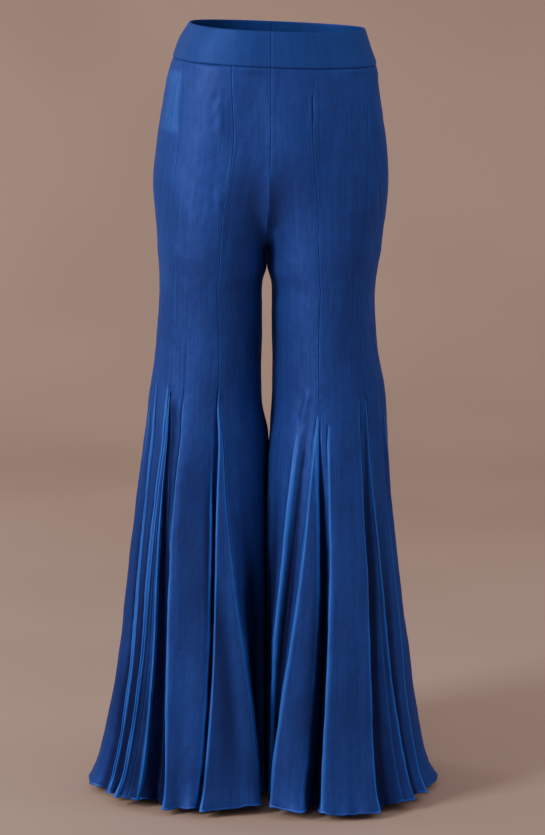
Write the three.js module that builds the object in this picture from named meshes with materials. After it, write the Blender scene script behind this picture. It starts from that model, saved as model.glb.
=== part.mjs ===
// Sharara trousers of satin, as worn: a shaped waistband, six panels to each leg from waist to hem,
// and five godets let into the seams of each leg at the knee, which fall in deep folds to the hem.
// Millimetres, +Z up, the front faces -Y. The origin is at the height of the waistband's top edge,
// on the plane through the centre front and centre back seams. The right leg is on the -X side.
import * as THREE from "three";

// Driving dimensions.
const LENGTH = 1075; // top edge of the waistband to the hem
const BAND_HEIGHT = 48; // depth of the waistband
const CROTCH = -305; // height of the crotch point
const CURVE_FROM = -195; // height at which the centre seams start to curve towards it
const CLOTH = 1.6; // wall of a single layer
const BAND_CLOTH = 2.6; // wall of the doubled waistband
const BAND_PROUD = 0.9; // how far the waistband stands out over the panels
const SEAM_GAP = 0.35; // between two pieces that are sewn together
const LOOK_ALONG = { narrow: 3, open: 1.2 }; // the cloth's slope is taken this far off or more
const MITRE = 0.62; // keeps a wall from growing too thick in a sharp fold
const HEM = -LENGTH;

// The pose of the wearer: the waist dips to the left and at the front, and the legs stand a little to the right.
const WAIST_SLOPE = 0.04; // drop per millimetre towards the left
const FRONT_DIP = 5; // how much lower the waist is at the centre front
const LEVEL_BELOW = -300; // height at which the slope and the dip have faded out
const SWAY = -5.8; // sideways shift of the legs
const SWAY_FROM = -120;
const SWAY_TO = -340;
const WAVE_DEPTH = 3; // the inner sides of the flares lie against each other in a slight wave
const WAVE_LENGTH = 120;
const WAVE_FROM = -525;
const WAVE_REACH = 45;

// Columns across one segment between two fold lines, and the heights of the rows.
const STEPS = 2;
const UPPER_ROWS = [-85, -125, -170, -215, -250, -278, -296, -309, -345, -400, -455];
const FLARE_ROWS = [-530, -570, -620, -690, -770, -850, -930, -1000, -1045, HEM];
const SPLIT_STEP = 8; // the seam above a godet opens over this height

// Half sizes of the hips: right and left half width, and reach to the front and to the back.
const TORSO = [
  { height: 0, right: 111, left: 128, front: 92, back: 96 },
  { height: -24, right: 125.5, left: 135.5, front: 95, back: 100 },
  { height: -48, right: 134, left: 144, front: 98, back: 106 },
  { height: -80, right: 143.5, left: 147.5, front: 101, back: 114 },
  { height: -120, right: 150, left: 152.5, front: 103, back: 123 },
  { height: -160, right: 156, left: 159, front: 104, back: 130 },
  { height: -215, right: 160, left: 165, front: 104, back: 135 },
  { height: -260, right: 158, left: 165, front: 102, back: 133 },
  { height: -300, right: 153, left: 160, front: 98, back: 126 },
  { height: -345, right: 151, left: 154, front: 94, back: 116 },
];

// The hang of each leg below the hips, from the plane between the legs: reach to the outer and inner
// side, to the front and to the back. The folds stand inside this envelope.
const LEGS = {
  right: [
    { height: -170, outer: 157, inner: 1, front: 104, back: 131 },
    { height: -305, outer: 153, inner: 0.5, front: 97, back: 119 },
    { height: -335, outer: 151, inner: 0.8, front: 93, back: 111 },
    { height: -355, outer: 151, inner: 6, front: 91, back: 106 },
    { height: -385, outer: 152, inner: 6.5, front: 88, back: 99 },
    { height: -440, outer: 155.5, inner: 7.2, front: 84, back: 89 },
    { height: -495, outer: 163, inner: 7.2, front: 83, back: 85 },
    { height: -525, outer: 167.5, inner: 6.4, front: 86, back: 88 },
    { height: -568, outer: 173.5, inner: 1.4, front: 93, back: 94.5 },
    { height: -640, outer: 184, inner: 1.4, front: 104, back: 106 },
    { height: -755, outer: 196.5, inner: 1.4, front: 121, back: 122 },
    { height: -873, outer: 209, inner: 1.4, front: 134, back: 135 },
    { height: -992, outer: 230.5, inner: 1.4, front: 146, back: 147 },
    { height: -1045, outer: 244, inner: 1.4, front: 152, back: 153 },
    { height: HEM, outer: 255, inner: 1.4, front: 157, back: 158 },
  ],
  left: [
    { height: -170, outer: 160, inner: 1, front: 104, back: 131 },
    { height: -305, outer: 159.5, inner: 0.5, front: 99, back: 118 },
    { height: -335, outer: 154, inner: 0.8, front: 96, back: 109 },
    { height: -355, outer: 151.5, inner: 6, front: 94, back: 104 },
    { height: -385, outer: 150.5, inner: 6.5, front: 92, back: 96 },
    { height: -440, outer: 153.5, inner: 7.2, front: 90, back: 84 },
    { height: -495, outer: 162.5, inner: 7.2, front: 91, back: 79 },
    { height: -525, outer: 166, inner: 6.4, front: 94, back: 81 },
    { height: -568, outer: 170, inner: 1.4, front: 102, back: 87 },
    { height: -640, outer: 175.5, inner: 1.4, front: 115, back: 97 },
    { height: -755, outer: 188.5, inner: 1.4, front: 134, back: 112 },
    { height: -873, outer: 201, inner: 1.4, front: 149, back: 125 },
    { height: -992, outer: 219.5, inner: 1.4, front: 163, back: 136 },
    { height: -1045, outer: 233, inner: 1.4, front: 170, back: 141 },
    { height: HEM, outer: 245, inner: 1.4, front: 176, back: 146 },
  ],
};
const GODET_TOP = { right: -500, left: -514 }; // where the seams open at the knee

// The seams above the godets, as directions in degrees at each height: round the hips, where 0 is the
// centre front and 180 the centre back, and round the leg, where 0 is the front and 90 the outer side.
const HIP_SEAMS = {
  right: [
    { height: -48, front_godet: 29.8, side_front_godet: 65, side_godet: 67, side_back_godet: 112, back_godet: 151 },
    { height: -100, front_godet: 27.8, side_front_godet: 61.3, side_godet: 68, side_back_godet: 112, back_godet: 150 },
    { height: -155, front_godet: 26.7, side_front_godet: 61.3, side_godet: 69, side_back_godet: 112, back_godet: 148 },
    { height: -230, front_godet: 30.3, side_front_godet: 61.3, side_godet: 71.5, side_back_godet: 113, back_godet: 146 },
    { height: -310, front_godet: 35, side_front_godet: 64, side_godet: 76, side_back_godet: 115, back_godet: 145 },
  ],
  left: [
    { height: -48, front_godet: 33, side_front_godet: 68.2, side_godet: 70.2, side_back_godet: 112, back_godet: 151 },
    { height: -100, front_godet: 29.6, side_front_godet: 66, side_godet: 70.2, side_back_godet: 112, back_godet: 150 },
    { height: -155, front_godet: 29.8, side_front_godet: 63.6, side_godet: 69, side_back_godet: 112, back_godet: 148 },
    { height: -230, front_godet: 33, side_front_godet: 62.6, side_godet: 71, side_back_godet: 113, back_godet: 146 },
    { height: -310, front_godet: 38, side_front_godet: 63.5, side_godet: 76, side_back_godet: 115, back_godet: 145 },
  ],
};
const LEG_SEAMS = {
  right: [
    { height: -290, front_godet: -8, side_front_godet: 36.5, side_godet: 74, side_back_godet: 136, back_godet: 196 },
    { height: -346, front_godet: -6.5, side_front_godet: 38, side_godet: 72, side_back_godet: 138, back_godet: 194 },
    { height: -412, front_godet: -9.5, side_front_godet: 38.7, side_godet: 70, side_back_godet: 139, back_godet: 193 },
  ],
  left: [
    { height: -290, front_godet: -6.5, side_front_godet: 33, side_godet: 74, side_back_godet: 136, back_godet: 194 },
    { height: -346, front_godet: -3.5, side_front_godet: 36, side_godet: 72, side_back_godet: 138, back_godet: 192 },
    { height: -412, front_godet: -5, side_front_godet: 36.3, side_godet: 70, side_back_godet: 139, back_godet: 191 },
  ],
};
const SEAM_NAMES = ["front_godet", "side_front_godet", "side_godet", "side_back_godet", "back_godet"];

// The fold lines of each leg, in order from the inseam round the front, the outer side and the back.
// knee, middle and hem are directions in degrees from the leg's own centre: 0 to the front, 90 to the
// outer side. reach is how far out the line is at the hem, as a share of the envelope: ridges are
// near 1 and valleys below 0.9. piece starts a new piece, with its seam on that line.
const FOLDS = {
  right: [
    { piece: "front_inner_panel", knee: -90, middle: -90, hem: -90, reach: 1.0 },
    { knee: -74, middle: -74, hem: -72, reach: 1.0 },
    { knee: -56, middle: -57, hem: -58, reach: 1.0 },
    { knee: -32, middle: -38, hem: -49, reach: 0.82 },
    { piece: "front_godet", knee: -14, middle: -24.5, hem: -39.5, reach: 1.05 },
    { knee: -13.4, middle: -18.5, hem: -26, reach: 1.0 },
    { knee: -12.8, middle: -12.2, hem: -12, reach: 1.04 },
    { piece: "front_outer_panel", knee: -12.2, middle: -12.7, hem: -14, reach: 0.84 },
    { knee: -6, middle: -8, hem: -9, reach: 0.94 },
    { knee: 6, middle: 5, hem: -1, reach: 0.965 },
    { knee: 20, middle: 18.5, hem: 6.5, reach: 1.0 },
    { piece: "side_front_godet", knee: 35.6, middle: 22.5, hem: 9, reach: 0.86 },
    { knee: 36.2, middle: 25.5, hem: 13, reach: 0.74 },
    { knee: 36.7, middle: 29.5, hem: 22.5, reach: 0.9 },
    { piece: "side_front_panel", knee: 37.2, middle: 32.5, hem: 30, reach: 0.93 },
    { knee: 39.5, middle: 36.5, hem: 35, reach: 1.0 },
    { knee: 45, middle: 40.5, hem: 38.5, reach: 0.9 },
    { knee: 57, middle: 50, hem: 45.5, reach: 1.0 },
    { piece: "side_godet", knee: 67.4, middle: 54.5, hem: 49.5, reach: 0.87 },
    { knee: 68, middle: 67, hem: 66, reach: 1.0 },
    { knee: 68.6, middle: 79, hem: 84, reach: 1.0 },
    { piece: "side_back_panel", knee: 69.2, middle: 91, hem: 98, reach: 0.9 },
    { knee: 88, middle: 99, hem: 105, reach: 0.88 },
    { knee: 106, middle: 111.5, hem: 115, reach: 0.98 },
    { knee: 124, middle: 124, hem: 127, reach: 1.0 },
    { piece: "side_back_godet", knee: 139.4, middle: 135, hem: 136, reach: 0.86 },
    { knee: 140, middle: 140, hem: 143, reach: 0.74 },
    { knee: 140.6, middle: 146, hem: 151, reach: 0.87 },
    { piece: "back_outer_panel", knee: 141.2, middle: 151, hem: 157, reach: 1.0 },
    { knee: 156, middle: 162, hem: 167, reach: 1.01 },
    { knee: 170, middle: 174, hem: 177, reach: 0.98 },
    { knee: 182, middle: 184, hem: 185, reach: 0.85 },
    { piece: "back_godet", knee: 192, middle: 190, hem: 192, reach: 0.78 },
    { knee: 192.6, middle: 197, hem: 201, reach: 0.93 },
    { knee: 193.2, middle: 203, hem: 211, reach: 1.0 },
    { piece: "back_inner_panel", knee: 193.8, middle: 209, hem: 218, reach: 0.88 },
    { knee: 209, middle: 218, hem: 227, reach: 0.82 },
    { knee: 227, middle: 232, hem: 238, reach: 0.97 },
    { knee: 248, middle: 250, hem: 253, reach: 1.0 },
    { knee: 270, middle: 270, hem: 270, reach: 1.0 },
  ],
  left: [
    { piece: "front_inner_panel", knee: -90, middle: -90, hem: -90, reach: 1.0 },
    { knee: -74, middle: -75, hem: -76, reach: 1.0 },
    { knee: -52, middle: -58, hem: -64, reach: 0.97 },
    { knee: -25, middle: -33, hem: -51, reach: 1.0 },
    { knee: -17, middle: -28.5, hem: -44.5, reach: 0.86 },
    { piece: "front_godet", knee: -10, middle: -21, hem: -38.5, reach: 1.04 },
    { knee: -9.4, middle: -18.2, hem: -27, reach: 1.0 },
    { knee: -8.8, middle: -8.5, hem: -21.5, reach: 0.8 },
    { piece: "front_outer_panel", knee: -8.2, middle: -6, hem: -18.5, reach: 0.86 },
    { knee: -1, middle: -4.3, hem: -16, reach: 1.0 },
    { knee: 10, middle: 6, hem: -6, reach: 1.01 },
    { knee: 20, middle: 14, hem: 3, reach: 1.0 },
    { knee: 28, middle: 20, hem: 12, reach: 1.0 },
    { piece: "side_front_godet", knee: 34.9, middle: 21.5, hem: 13.5, reach: 0.88 },
    { knee: 35.5, middle: 26, hem: 20, reach: 0.88 },
    { knee: 36.1, middle: 31, hem: 27, reach: 0.95 },
    { piece: "side_front_panel", knee: 36.7, middle: 34.3, hem: 34, reach: 1.0 },
    { knee: 44, middle: 38.5, hem: 36.5, reach: 0.9 },
    { knee: 60, middle: 55, hem: 48.5, reach: 1.0 },
    { piece: "side_godet", knee: 66.4, middle: 58.5, hem: 53, reach: 0.87 },
    { knee: 67, middle: 68, hem: 64, reach: 0.94 },
    { knee: 67.6, middle: 80, hem: 84, reach: 1.0 },
    { piece: "side_back_panel", knee: 68.2, middle: 91, hem: 98, reach: 0.9 },
    { knee: 88, middle: 100, hem: 106, reach: 0.88 },
    { knee: 107, middle: 113, hem: 117, reach: 0.98 },
    { knee: 125, middle: 126, hem: 129, reach: 1.0 },
    { piece: "side_back_godet", knee: 139.4, middle: 137, hem: 138, reach: 0.84 },
    { knee: 140, middle: 142, hem: 145, reach: 0.75 },
    { knee: 140.6, middle: 148, hem: 154, reach: 0.9 },
    { piece: "back_outer_panel", knee: 141.2, middle: 153, hem: 160, reach: 1.0 },
    { knee: 155, middle: 164, hem: 170, reach: 0.98 },
    { knee: 169, middle: 175, hem: 180, reach: 1.0 },
    { knee: 181, middle: 185, hem: 189, reach: 0.86 },
    { piece: "back_godet", knee: 190, middle: 191, hem: 196, reach: 0.8 },
    { knee: 190.6, middle: 197, hem: 204, reach: 0.95 },
    { knee: 191.2, middle: 203, hem: 213, reach: 1.0 },
    { piece: "back_inner_panel", knee: 191.8, middle: 209, hem: 221, reach: 0.87 },
    { knee: 208, middle: 218, hem: 229, reach: 0.81 },
    { knee: 226, middle: 232, hem: 240, reach: 0.97 },
    { knee: 248, middle: 250, hem: 252, reach: 1.0 },
    { knee: 270, middle: 270, hem: 270, reach: 1.0 },
  ],
};
const MIDDLE_AT = 0.45; // where between godet top and hem the middle directions hold
const DEPTH_GROWTH = 1.8; // how soon a valley deepens on its way to the hem
const DEPTH_FROM = 0.14; // share of that way over which its depth sets in
const SPLINE_OVER = 60; // the folds round off over this height below the godets' top
const ROUND_POWER = 2; // an ellipse
const HIP_POWER = 2.35; // the hips are a little squarer than an ellipse
const PRESSED_POWER = 7; // the legs' inner sides press flat against each other at the hem
const HEM_WAVE = 2.5; // the hem rises and falls by this much
const HEM_WAVES = 5;

const SATIN = new THREE.MeshStandardMaterial({ color: 0x1d4a9c, roughness: 0.42, metalness: 0 });
const BAND_SATIN = new THREE.MeshStandardMaterial({ color: 0x1a438f, roughness: 0.46, metalness: 0 });

const mix = (a, b, share) => a + (b - a) * share;
const radians = (degrees) => (degrees * Math.PI) / 180;
const clamp = (x) => Math.min(1, Math.max(0, x));
const smooth = (x) => clamp(x) * clamp(x) * (3 - 2 * clamp(x));

// A column of a height table at one height: a smooth curve through its rows.
function along(table, column, height) {
  const last = table.length - 1;
  if (height >= table[0].height) return table[0][column];
  if (height <= table[last].height) return table[last][column];
  const i = table.findIndex((row) => row.height <= height) - 1;
  const slope = (k) => {
    const [a, b] = [table[Math.max(0, k - 1)], table[Math.min(last, k + 1)]];
    return (b[column] - a[column]) / (b.height - a.height);
  };
  const [above, below] = [table[i], table[i + 1]];
  const span = below.height - above.height;
  const t = (height - above.height) / span;
  return (
    above[column] * (2 * t ** 3 - 3 * t ** 2 + 1) +
    slope(i) * span * (t ** 3 - 2 * t ** 2 + t) +
    below[column] * (3 * t ** 2 - 2 * t ** 3) +
    slope(i + 1) * span * (t ** 3 - t ** 2)
  );
}

// A point of an oval in the given direction, 0 to the front and 90 outwards.
function ovalPoint(oval, direction, reach) {
  const [across, ahead] = [Math.sin(radians(direction)), Math.cos(radians(direction))];
  const depth = ahead > 0 ? oval.front : oval.back;
  const power = across < 0 ? oval.innerPower : oval.outerPower;
  const radius = ((Math.abs(across) / oval.half) ** power + (Math.abs(ahead) / depth) ** power) ** (-1 / power);
  return { out: oval.centre + radius * reach * across, y: -radius * reach * ahead };
}

function hipOval(leg, height) {
  const [front, back] = ["front", "back"].map((column) => along(TORSO, column, height));
  return { centre: 0, half: along(TORSO, leg, height), front, back, innerPower: HIP_POWER, outerPower: HIP_POWER };
}

function legOval(leg, height) {
  const [outer, inner, front, back] = ["outer", "inner", "front", "back"].map((column) =>
    along(LEGS[leg], column, height),
  );
  const pressed = clamp((GODET_TOP[leg] - height) / (GODET_TOP[leg] - HEM));
  return {
    centre: (outer + inner) / 2,
    half: (outer - inner) / 2,
    front,
    back,
    innerPower: mix(ROUND_POWER, PRESSED_POWER, smooth(pressed / 0.7)),
    outerPower: ROUND_POWER,
  };
}

// The seams of a leg as directions at the knee, from inseam to inseam: each godet closes into one seam.
const KNEE_SEAMS = Object.fromEntries(Object.entries(FOLDS).map(([leg, folds]) => {
  const starts = folds.filter((fold) => fold.piece);
  const seams = SEAM_NAMES.map((name) => {
    const i = starts.findIndex((fold) => fold.piece === name);
    return (starts[i].knee + starts[i + 1].knee) / 2;
  });
  return [leg, [folds[0].knee, ...seams, folds.at(-1).knee]];
}));

// A direction at the knee, carried up between its two seams to where they run at another height.
function carried(leg, direction, seams) {
  const knee = KNEE_SEAMS[leg];
  const i = Math.max(1, Math.min(knee.length - 1, knee.findIndex((seam) => seam > direction)));
  const k = direction >= knee.at(-1) ? knee.length - 1 : i;
  return mix(seams[k - 1], seams[k], (direction - knee[k - 1]) / (knee[k] - knee[k - 1]));
}

// The direction round the hips, and round the leg, that a direction at the knee runs up to.
function hipDirection(leg, direction, height) {
  return carried(leg, direction, [0, ...SEAM_NAMES.map((seam) => along(HIP_SEAMS[leg], seam, height)), 180]);
}

function legDirection(leg, direction, height) {
  const table = [...LEG_SEAMS[leg], { height: GODET_TOP[leg] }];
  SEAM_NAMES.forEach((seam, i) => (table.at(-1)[seam] = KNEE_SEAMS[leg][i + 1]));
  return carried(leg, direction, [-90, ...SEAM_NAMES.map((seam) => along(table, seam, height)), 270]);
}

// How far the surface has turned from hips to leg: early on the outer side, and in the curve of the
// crotch seam at the centre.
function legShare(leg, direction, height) {
  const seams = KNEE_SEAMS[leg];
  const [frontSeam, backSeam] = [seams[1], seams[seams.length - 2]];
  const towardsCentre = clamp(
    Math.max((frontSeam - direction) / (frontSeam + 90), (direction - backSeam) / (270 - backSeam)),
  );
  const gradual = smooth((-170 - height) / 180);
  const seamCurve = 1 - Math.sqrt(1 - clamp((CURVE_FROM - height) / (CURVE_FROM - CROTCH)) ** 2);
  return mix(gradual, seamCurve, towardsCentre ** 2);
}

// The cloth above the godets, without folds.
function bodyPoint(leg, direction, height) {
  const share = legShare(leg, direction, height);
  const hip = ovalPoint(hipOval(leg, height), hipDirection(leg, direction, height), 1);
  const limb = ovalPoint(legOval(leg, height), legDirection(leg, direction, height), 1);
  return { out: mix(hip.out, limb.out, share), y: mix(hip.y, limb.y, share) };
}

// Where each fold line runs at one height: its direction and its reach.
function foldLines(leg, height) {
  const t = clamp((GODET_TOP[leg] - height) / (GODET_TOP[leg] - HEM));
  const toMiddle = (t * (1 - t)) / (MIDDLE_AT * (1 - MIDDLE_AT));
  return FOLDS[leg].map(({ knee, middle, hem, reach }) => ({
    direction: mix(knee, hem, t) + (middle - mix(knee, hem, MIDDLE_AT)) * toMiddle,
    reach: 1 - (1 - reach) * (1 - (1 - t) ** DEPTH_GROWTH) * smooth(t / DEPTH_FROM),
  }));
}

// The surface between the legs: a plane above, and a slight wave where the flares lie against each other.
function middlePlane(height, y) {
  const wave = WAVE_DEPTH * Math.cos((2 * Math.PI * y) / WAVE_LENGTH) * smooth((WAVE_FROM - height) / 50);
  return SWAY * smooth((SWAY_FROM - height) / (SWAY_FROM - SWAY_TO)) + wave;
}

// The pose moves a point sideways and lowers the waist, and the hem gets its wave.
function posed(leg, { out, y }, height) {
  const flat = middlePlane(height, WAVE_LENGTH / 4);
  const near = smooth(1 - out / WAVE_REACH);
  const x = (leg === "right" ? -out : out) + mix(flat, middlePlane(height, y), near);
  const waist = 1 - smooth(height / LEVEL_BELOW);
  const dip = waist * (WAIST_SLOPE * x + (FRONT_DIP * Math.max(0, -y)) / TORSO[0].front);
  const low = clamp((HEM / 2 - height) / (HEM / 2 - HEM)) ** 3;
  const wave = low * HEM_WAVE * (1 + Math.sin(HEM_WAVES * Math.atan2(y, out - LEGS[leg].at(-1).outer / 2)));
  return new THREE.Vector3(x, y, height - dip + wave);
}

// One row of a leg at one height: the points of all its columns, godets included.
function legRow(leg, height) {
  const lines = foldLines(leg, height);
  const above = height > GODET_TOP[leg];
  const oval = legOval(leg, height);
  const closed = (direction) => KNEE_SEAMS[leg].find((seam) => Math.abs(seam - direction) <= 1.1) ?? direction;
  const controls = lines.map(({ direction, reach }) => {
    const { out, y } = ovalPoint(oval, direction, reach);
    return new THREE.Vector3(out, y, 0);
  });
  const curve = above ? null : new THREE.CatmullRomCurve3(controls.slice(0, -1), true, "centripetal");
  const rounded = smooth((GODET_TOP[leg] - height) / SPLINE_OVER);
  const points = [];
  for (let column = 0; column <= (lines.length - 1) * STEPS; column++) {
    const k = Math.min(Math.floor(column / STEPS), lines.length - 2);
    const share = column / STEPS - k;
    const direction = mix(lines[k].direction, lines[k + 1].direction, share);
    if (above) {
      const [a, b] = [closed(lines[k].direction), closed(lines[k + 1].direction)];
      points.push(posed(leg, bodyPoint(leg, mix(a, b, share), height), height));
      continue;
    }
    const plain = ovalPoint(oval, direction, mix(lines[k].reach, lines[k + 1].reach, share));
    const fold = curve.getPoint(((k + share) / (lines.length - 1)) % 1);
    points.push(posed(leg, { out: mix(plain.out, fold.x, rounded), y: mix(plain.y, fold.y, rounded) }, height));
  }
  return points;
}

// The heights of a leg's rows, from the waistband seam to the hem.
function rowHeights(leg) {
  const top = GODET_TOP[leg];
  return [-BAND_HEIGHT - SEAM_GAP, ...UPPER_ROWS, top + SPLIT_STEP, top, ...FLARE_ROWS];
}

// The way from one point of a row to the cloth a little further on, or straight on past an open end.
function wayAlong(row, column, by, closed, distance) {
  const last = row.length - 1;
  let to = column;
  do {
    to += by;
    if (closed) to = (to + last) % last;
    if (to < 0 || to > last) return wayAlong(row, column, -by, closed, distance).negate();
  } while (row[to].distanceTo(row[column]) < distance);
  return row[to].clone().sub(row[column]).normalize();
}

// The whole cloth of one leg as rows of points. Each has the way along the row to either side, and the
// vector to the outer face that the wall stands on: shared, and for a piece that starts or ends there.
function legCloth(leg) {
  const heights = rowHeights(leg);
  const rows = heights.map((height) => legRow(leg, height));
  const outward = leg === "right" ? 1 : -1;
  return rows.map((row, r) =>
    row.map((point, c) => {
      const closed = heights[r] <= CROTCH;
      const opened = smooth((GODET_TOP[leg] - heights[r]) / 110);
      const distance = mix(LOOK_ALONG.narrow, LOOK_ALONG.open, opened);
      const [back, ahead] = [-1, 1].map((by) => wayAlong(row, c, by, closed, distance));
      const [up, down] = [rows[Math.max(0, r - 1)][c], rows[Math.min(rows.length - 1, r + 1)][c]];
      const fall = down.clone().sub(up).multiplyScalar(outward);
      const upright = (along) => {
        const normal = along.clone().cross(fall).normalize();
        return r === 0 ? normal.setZ(0).normalize() : normal;
      };
      const [before, after] = [upright(back.clone().negate()), upright(ahead)];
      const both = before.clone().add(after).normalize();
      both.divideScalar(Math.max(MITRE, both.dot(after)));
      const valley = smooth(after.dot(back) / 0.6);
      const [ends, starts] = [before, after].map((own) => both.clone().lerp(own, valley));
      return { point, back, ahead, both, ends, starts, height: heights[r] };
    }),
  );
}

// A wall of cloth from a grid of points: the outer face, the inner face one thickness in, and the edges.
function wallGeometry(grid, thickness, side) {
  const [rows, columns] = [grid.length, grid[0].length];
  const positions = [];
  for (const inset of [0, thickness])
    for (const row of grid)
      row.forEach(({ point, back, ahead, both, ends, starts, height }, c) => {
        const [first, last] = [c === 0, c === columns - 1];
        const v = point.clone().addScaledVector(first ? starts : last ? ends : both, -inset);
        if (first) v.addScaledVector(ahead, SEAM_GAP / 2);
        if (last) v.addScaledVector(back, SEAM_GAP / 2);
        const middle = middlePlane(height, v.y);
        const out = Math.max(side * (v.x - middle), SEAM_GAP / 2);
        positions.push(side * out + middle, v.y, v.z);
      });
  const at = (layer, r, c) => (layer * rows + r) * columns + c;
  const index = [];
  const quad = (a, b, c, d) => index.push(a, b, c, a, c, d);
  for (let r = 0; r < rows - 1; r++)
    for (let c = 0; c < columns - 1; c++) {
      quad(at(0, r, c), at(0, r, c + 1), at(0, r + 1, c + 1), at(0, r + 1, c));
      quad(at(1, r, c), at(1, r + 1, c), at(1, r + 1, c + 1), at(1, r, c + 1));
    }
  for (let r = 0; r < rows - 1; r++) {
    quad(at(0, r, 0), at(0, r + 1, 0), at(1, r + 1, 0), at(1, r, 0));
    quad(at(0, r, columns - 1), at(1, r, columns - 1), at(1, r + 1, columns - 1), at(0, r + 1, columns - 1));
  }
  for (let c = 0; c < columns - 1; c++) {
    quad(at(0, 0, c), at(1, 0, c), at(1, 0, c + 1), at(0, 0, c + 1));
    quad(at(0, rows - 1, c), at(0, rows - 1, c + 1), at(1, rows - 1, c + 1), at(1, rows - 1, c));
  }
  if (side > 0) index.reverse();
  const geometry = new THREE.BufferGeometry();
  geometry.setAttribute("position", new THREE.Float32BufferAttribute(positions, 3));
  geometry.setIndex(index);
  geometry.computeVertexNormals();
  return geometry;
}

function namedMesh(name, geometry, material) {
  const mesh = new THREE.Mesh(geometry, material);
  mesh.name = name;
  return mesh;
}

// The panels and godets of one leg, each a strip of the leg's cloth between its two seams. The panels in
// KNEE_CUT are two strips, one down to the knee and one that starts a seam's gap below it.
const KNEE_CUT = ["front_inner_panel", "back_inner_panel", "side_front_panel"];

function legPieces(leg) {
  const cloth = legCloth(leg);
  const starts = FOLDS[leg].map((fold, i) => ({ piece: fold.piece, column: i * STEPS })).filter(({ piece }) => piece);
  starts.push({ column: (FOLDS[leg].length - 1) * STEPS });
  const knee = rowHeights(leg).indexOf(GODET_TOP[leg]);
  const flare = [belowKnee(cloth[knee], cloth[knee + 1]), ...cloth.slice(knee + 1)];
  return starts.slice(0, -1).flatMap(({ piece, column }, i) => {
    const strip = (name, rows) => {
      const grid = rows.map((row) => row.slice(column, starts[i + 1].column + 1));
      return namedMesh(`${leg}_${name}`, wallGeometry(grid, CLOTH, leg === "right" ? -1 : 1), SATIN);
    };
    if (piece.endsWith("godet")) return [strip(piece, cloth.slice(knee))];
    if (!KNEE_CUT.includes(piece)) return [strip(piece, cloth)];
    return [strip(piece, cloth.slice(0, knee + 1)), strip(`${piece}_flare`, flare)];
  });
}

// A row of the cloth moved down by a seam's gap towards the next row.
function belowKnee(row, next) {
  return row.map((place, c) => {
    const share = SEAM_GAP / (place.height - next[c].height);
    const point = place.point.clone().lerp(next[c].point, share);
    return { ...place, point, height: mix(place.height, next[c].height, share) };
  });
}

// The waistband: a front and a back piece on each side, which follow the hips and stand a little proud.
const BAND_PIECES = [
  { name: "front_waistband", from: 0, to: 90, steps: 10 },
  { name: "back_waistband", from: 90, to: 180, steps: 10 },
];
const BAND_ROWS = [0, -16, -32, -BAND_HEIGHT];

function bandGrid(leg, { from, to, steps }) {
  const outward = leg === "right" ? -1 : 1;
  const place = (direction, height) => {
    const oval = hipOval(leg, height);
    const { out, y } = ovalPoint(oval, direction, 1);
    const proud = 1 + BAND_PROUD / Math.hypot(out, y);
    return posed(leg, { out: out * proud, y: y * proud }, height);
  };
  return BAND_ROWS.map((height) =>
    Array.from({ length: steps + 1 }, (_, c) => {
      const direction = mix(from, to, c / steps);
      const ahead = place(direction + 1, height).sub(place(direction - 1, height)).normalize();
      const both = new THREE.Vector3(0, 0, -outward).cross(ahead).setZ(0).normalize();
      const point = place(direction, height);
      return { point, back: ahead.clone().negate(), ahead, both, ends: both, starts: both, height };
    }),
  );
}

function waistbandPieces(leg) {
  return BAND_PIECES.map((piece) =>
    namedMesh(
      `${leg}_${piece.name}`,
      wallGeometry(bandGrid(leg, piece), BAND_CLOTH, leg === "right" ? -1 : 1),
      BAND_SATIN,
    ),
  );
}

const trousers = new THREE.Group();
for (const leg of ["right", "left"]) trousers.add(...waistbandPieces(leg), ...legPieces(leg));

export default trousers;
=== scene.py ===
"""Sharara trousers of royal-blue satin, as worn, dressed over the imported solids.

Each leg is one continuous cloth, worked out as a surface in millimetres and then cut along its seams into
panels and godets. A point of the cloth has a line number, which counts the fold lines round the leg from the
inseam over the front and the outer side to the back, and a height below the waistband's top edge.
"""

import logging
import math
from dataclasses import dataclass, field
from enum import Enum
from typing import Iterator, Sequence

import bpy
import numpy as np
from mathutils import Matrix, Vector


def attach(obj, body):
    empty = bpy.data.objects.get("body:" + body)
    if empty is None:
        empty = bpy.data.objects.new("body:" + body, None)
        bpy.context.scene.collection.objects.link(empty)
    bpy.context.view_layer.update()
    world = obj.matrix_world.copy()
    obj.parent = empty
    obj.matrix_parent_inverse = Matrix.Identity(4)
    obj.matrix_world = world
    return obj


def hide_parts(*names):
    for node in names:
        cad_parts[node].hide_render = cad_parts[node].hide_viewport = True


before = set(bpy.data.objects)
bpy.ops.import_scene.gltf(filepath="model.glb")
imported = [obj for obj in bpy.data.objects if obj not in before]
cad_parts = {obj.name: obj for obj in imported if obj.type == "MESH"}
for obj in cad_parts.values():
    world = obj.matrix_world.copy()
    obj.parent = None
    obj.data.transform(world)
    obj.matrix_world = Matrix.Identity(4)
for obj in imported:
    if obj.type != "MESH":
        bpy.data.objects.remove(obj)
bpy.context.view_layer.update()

LOG = logging.getLogger("sharara_trousers")
MM = 0.001

Array = np.ndarray


def mix(a: Array | float, b: Array | float, share: Array | float) -> Array | float:
    """Go from a to b by a share."""
    return a + (b - a) * share


def cubic(a: Array, b: Array, leaving: Array, arriving: Array, t: Array) -> Array:
    """Go from a to b by t, with a slope at either end."""
    return (
        a * (2 * t**3 - 3 * t**2 + 1)
        + leaving * (t**3 - 2 * t**2 + t)
        + b * (3 * t**2 - 2 * t**3)
        + arriving * (t**3 - t**2)
    )


def smooth(x: Array | float) -> Array:
    """Ease from 0 to 1."""
    c = np.clip(x, 0.0, 1.0)
    return c * c * (3 - 2 * c)


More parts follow.
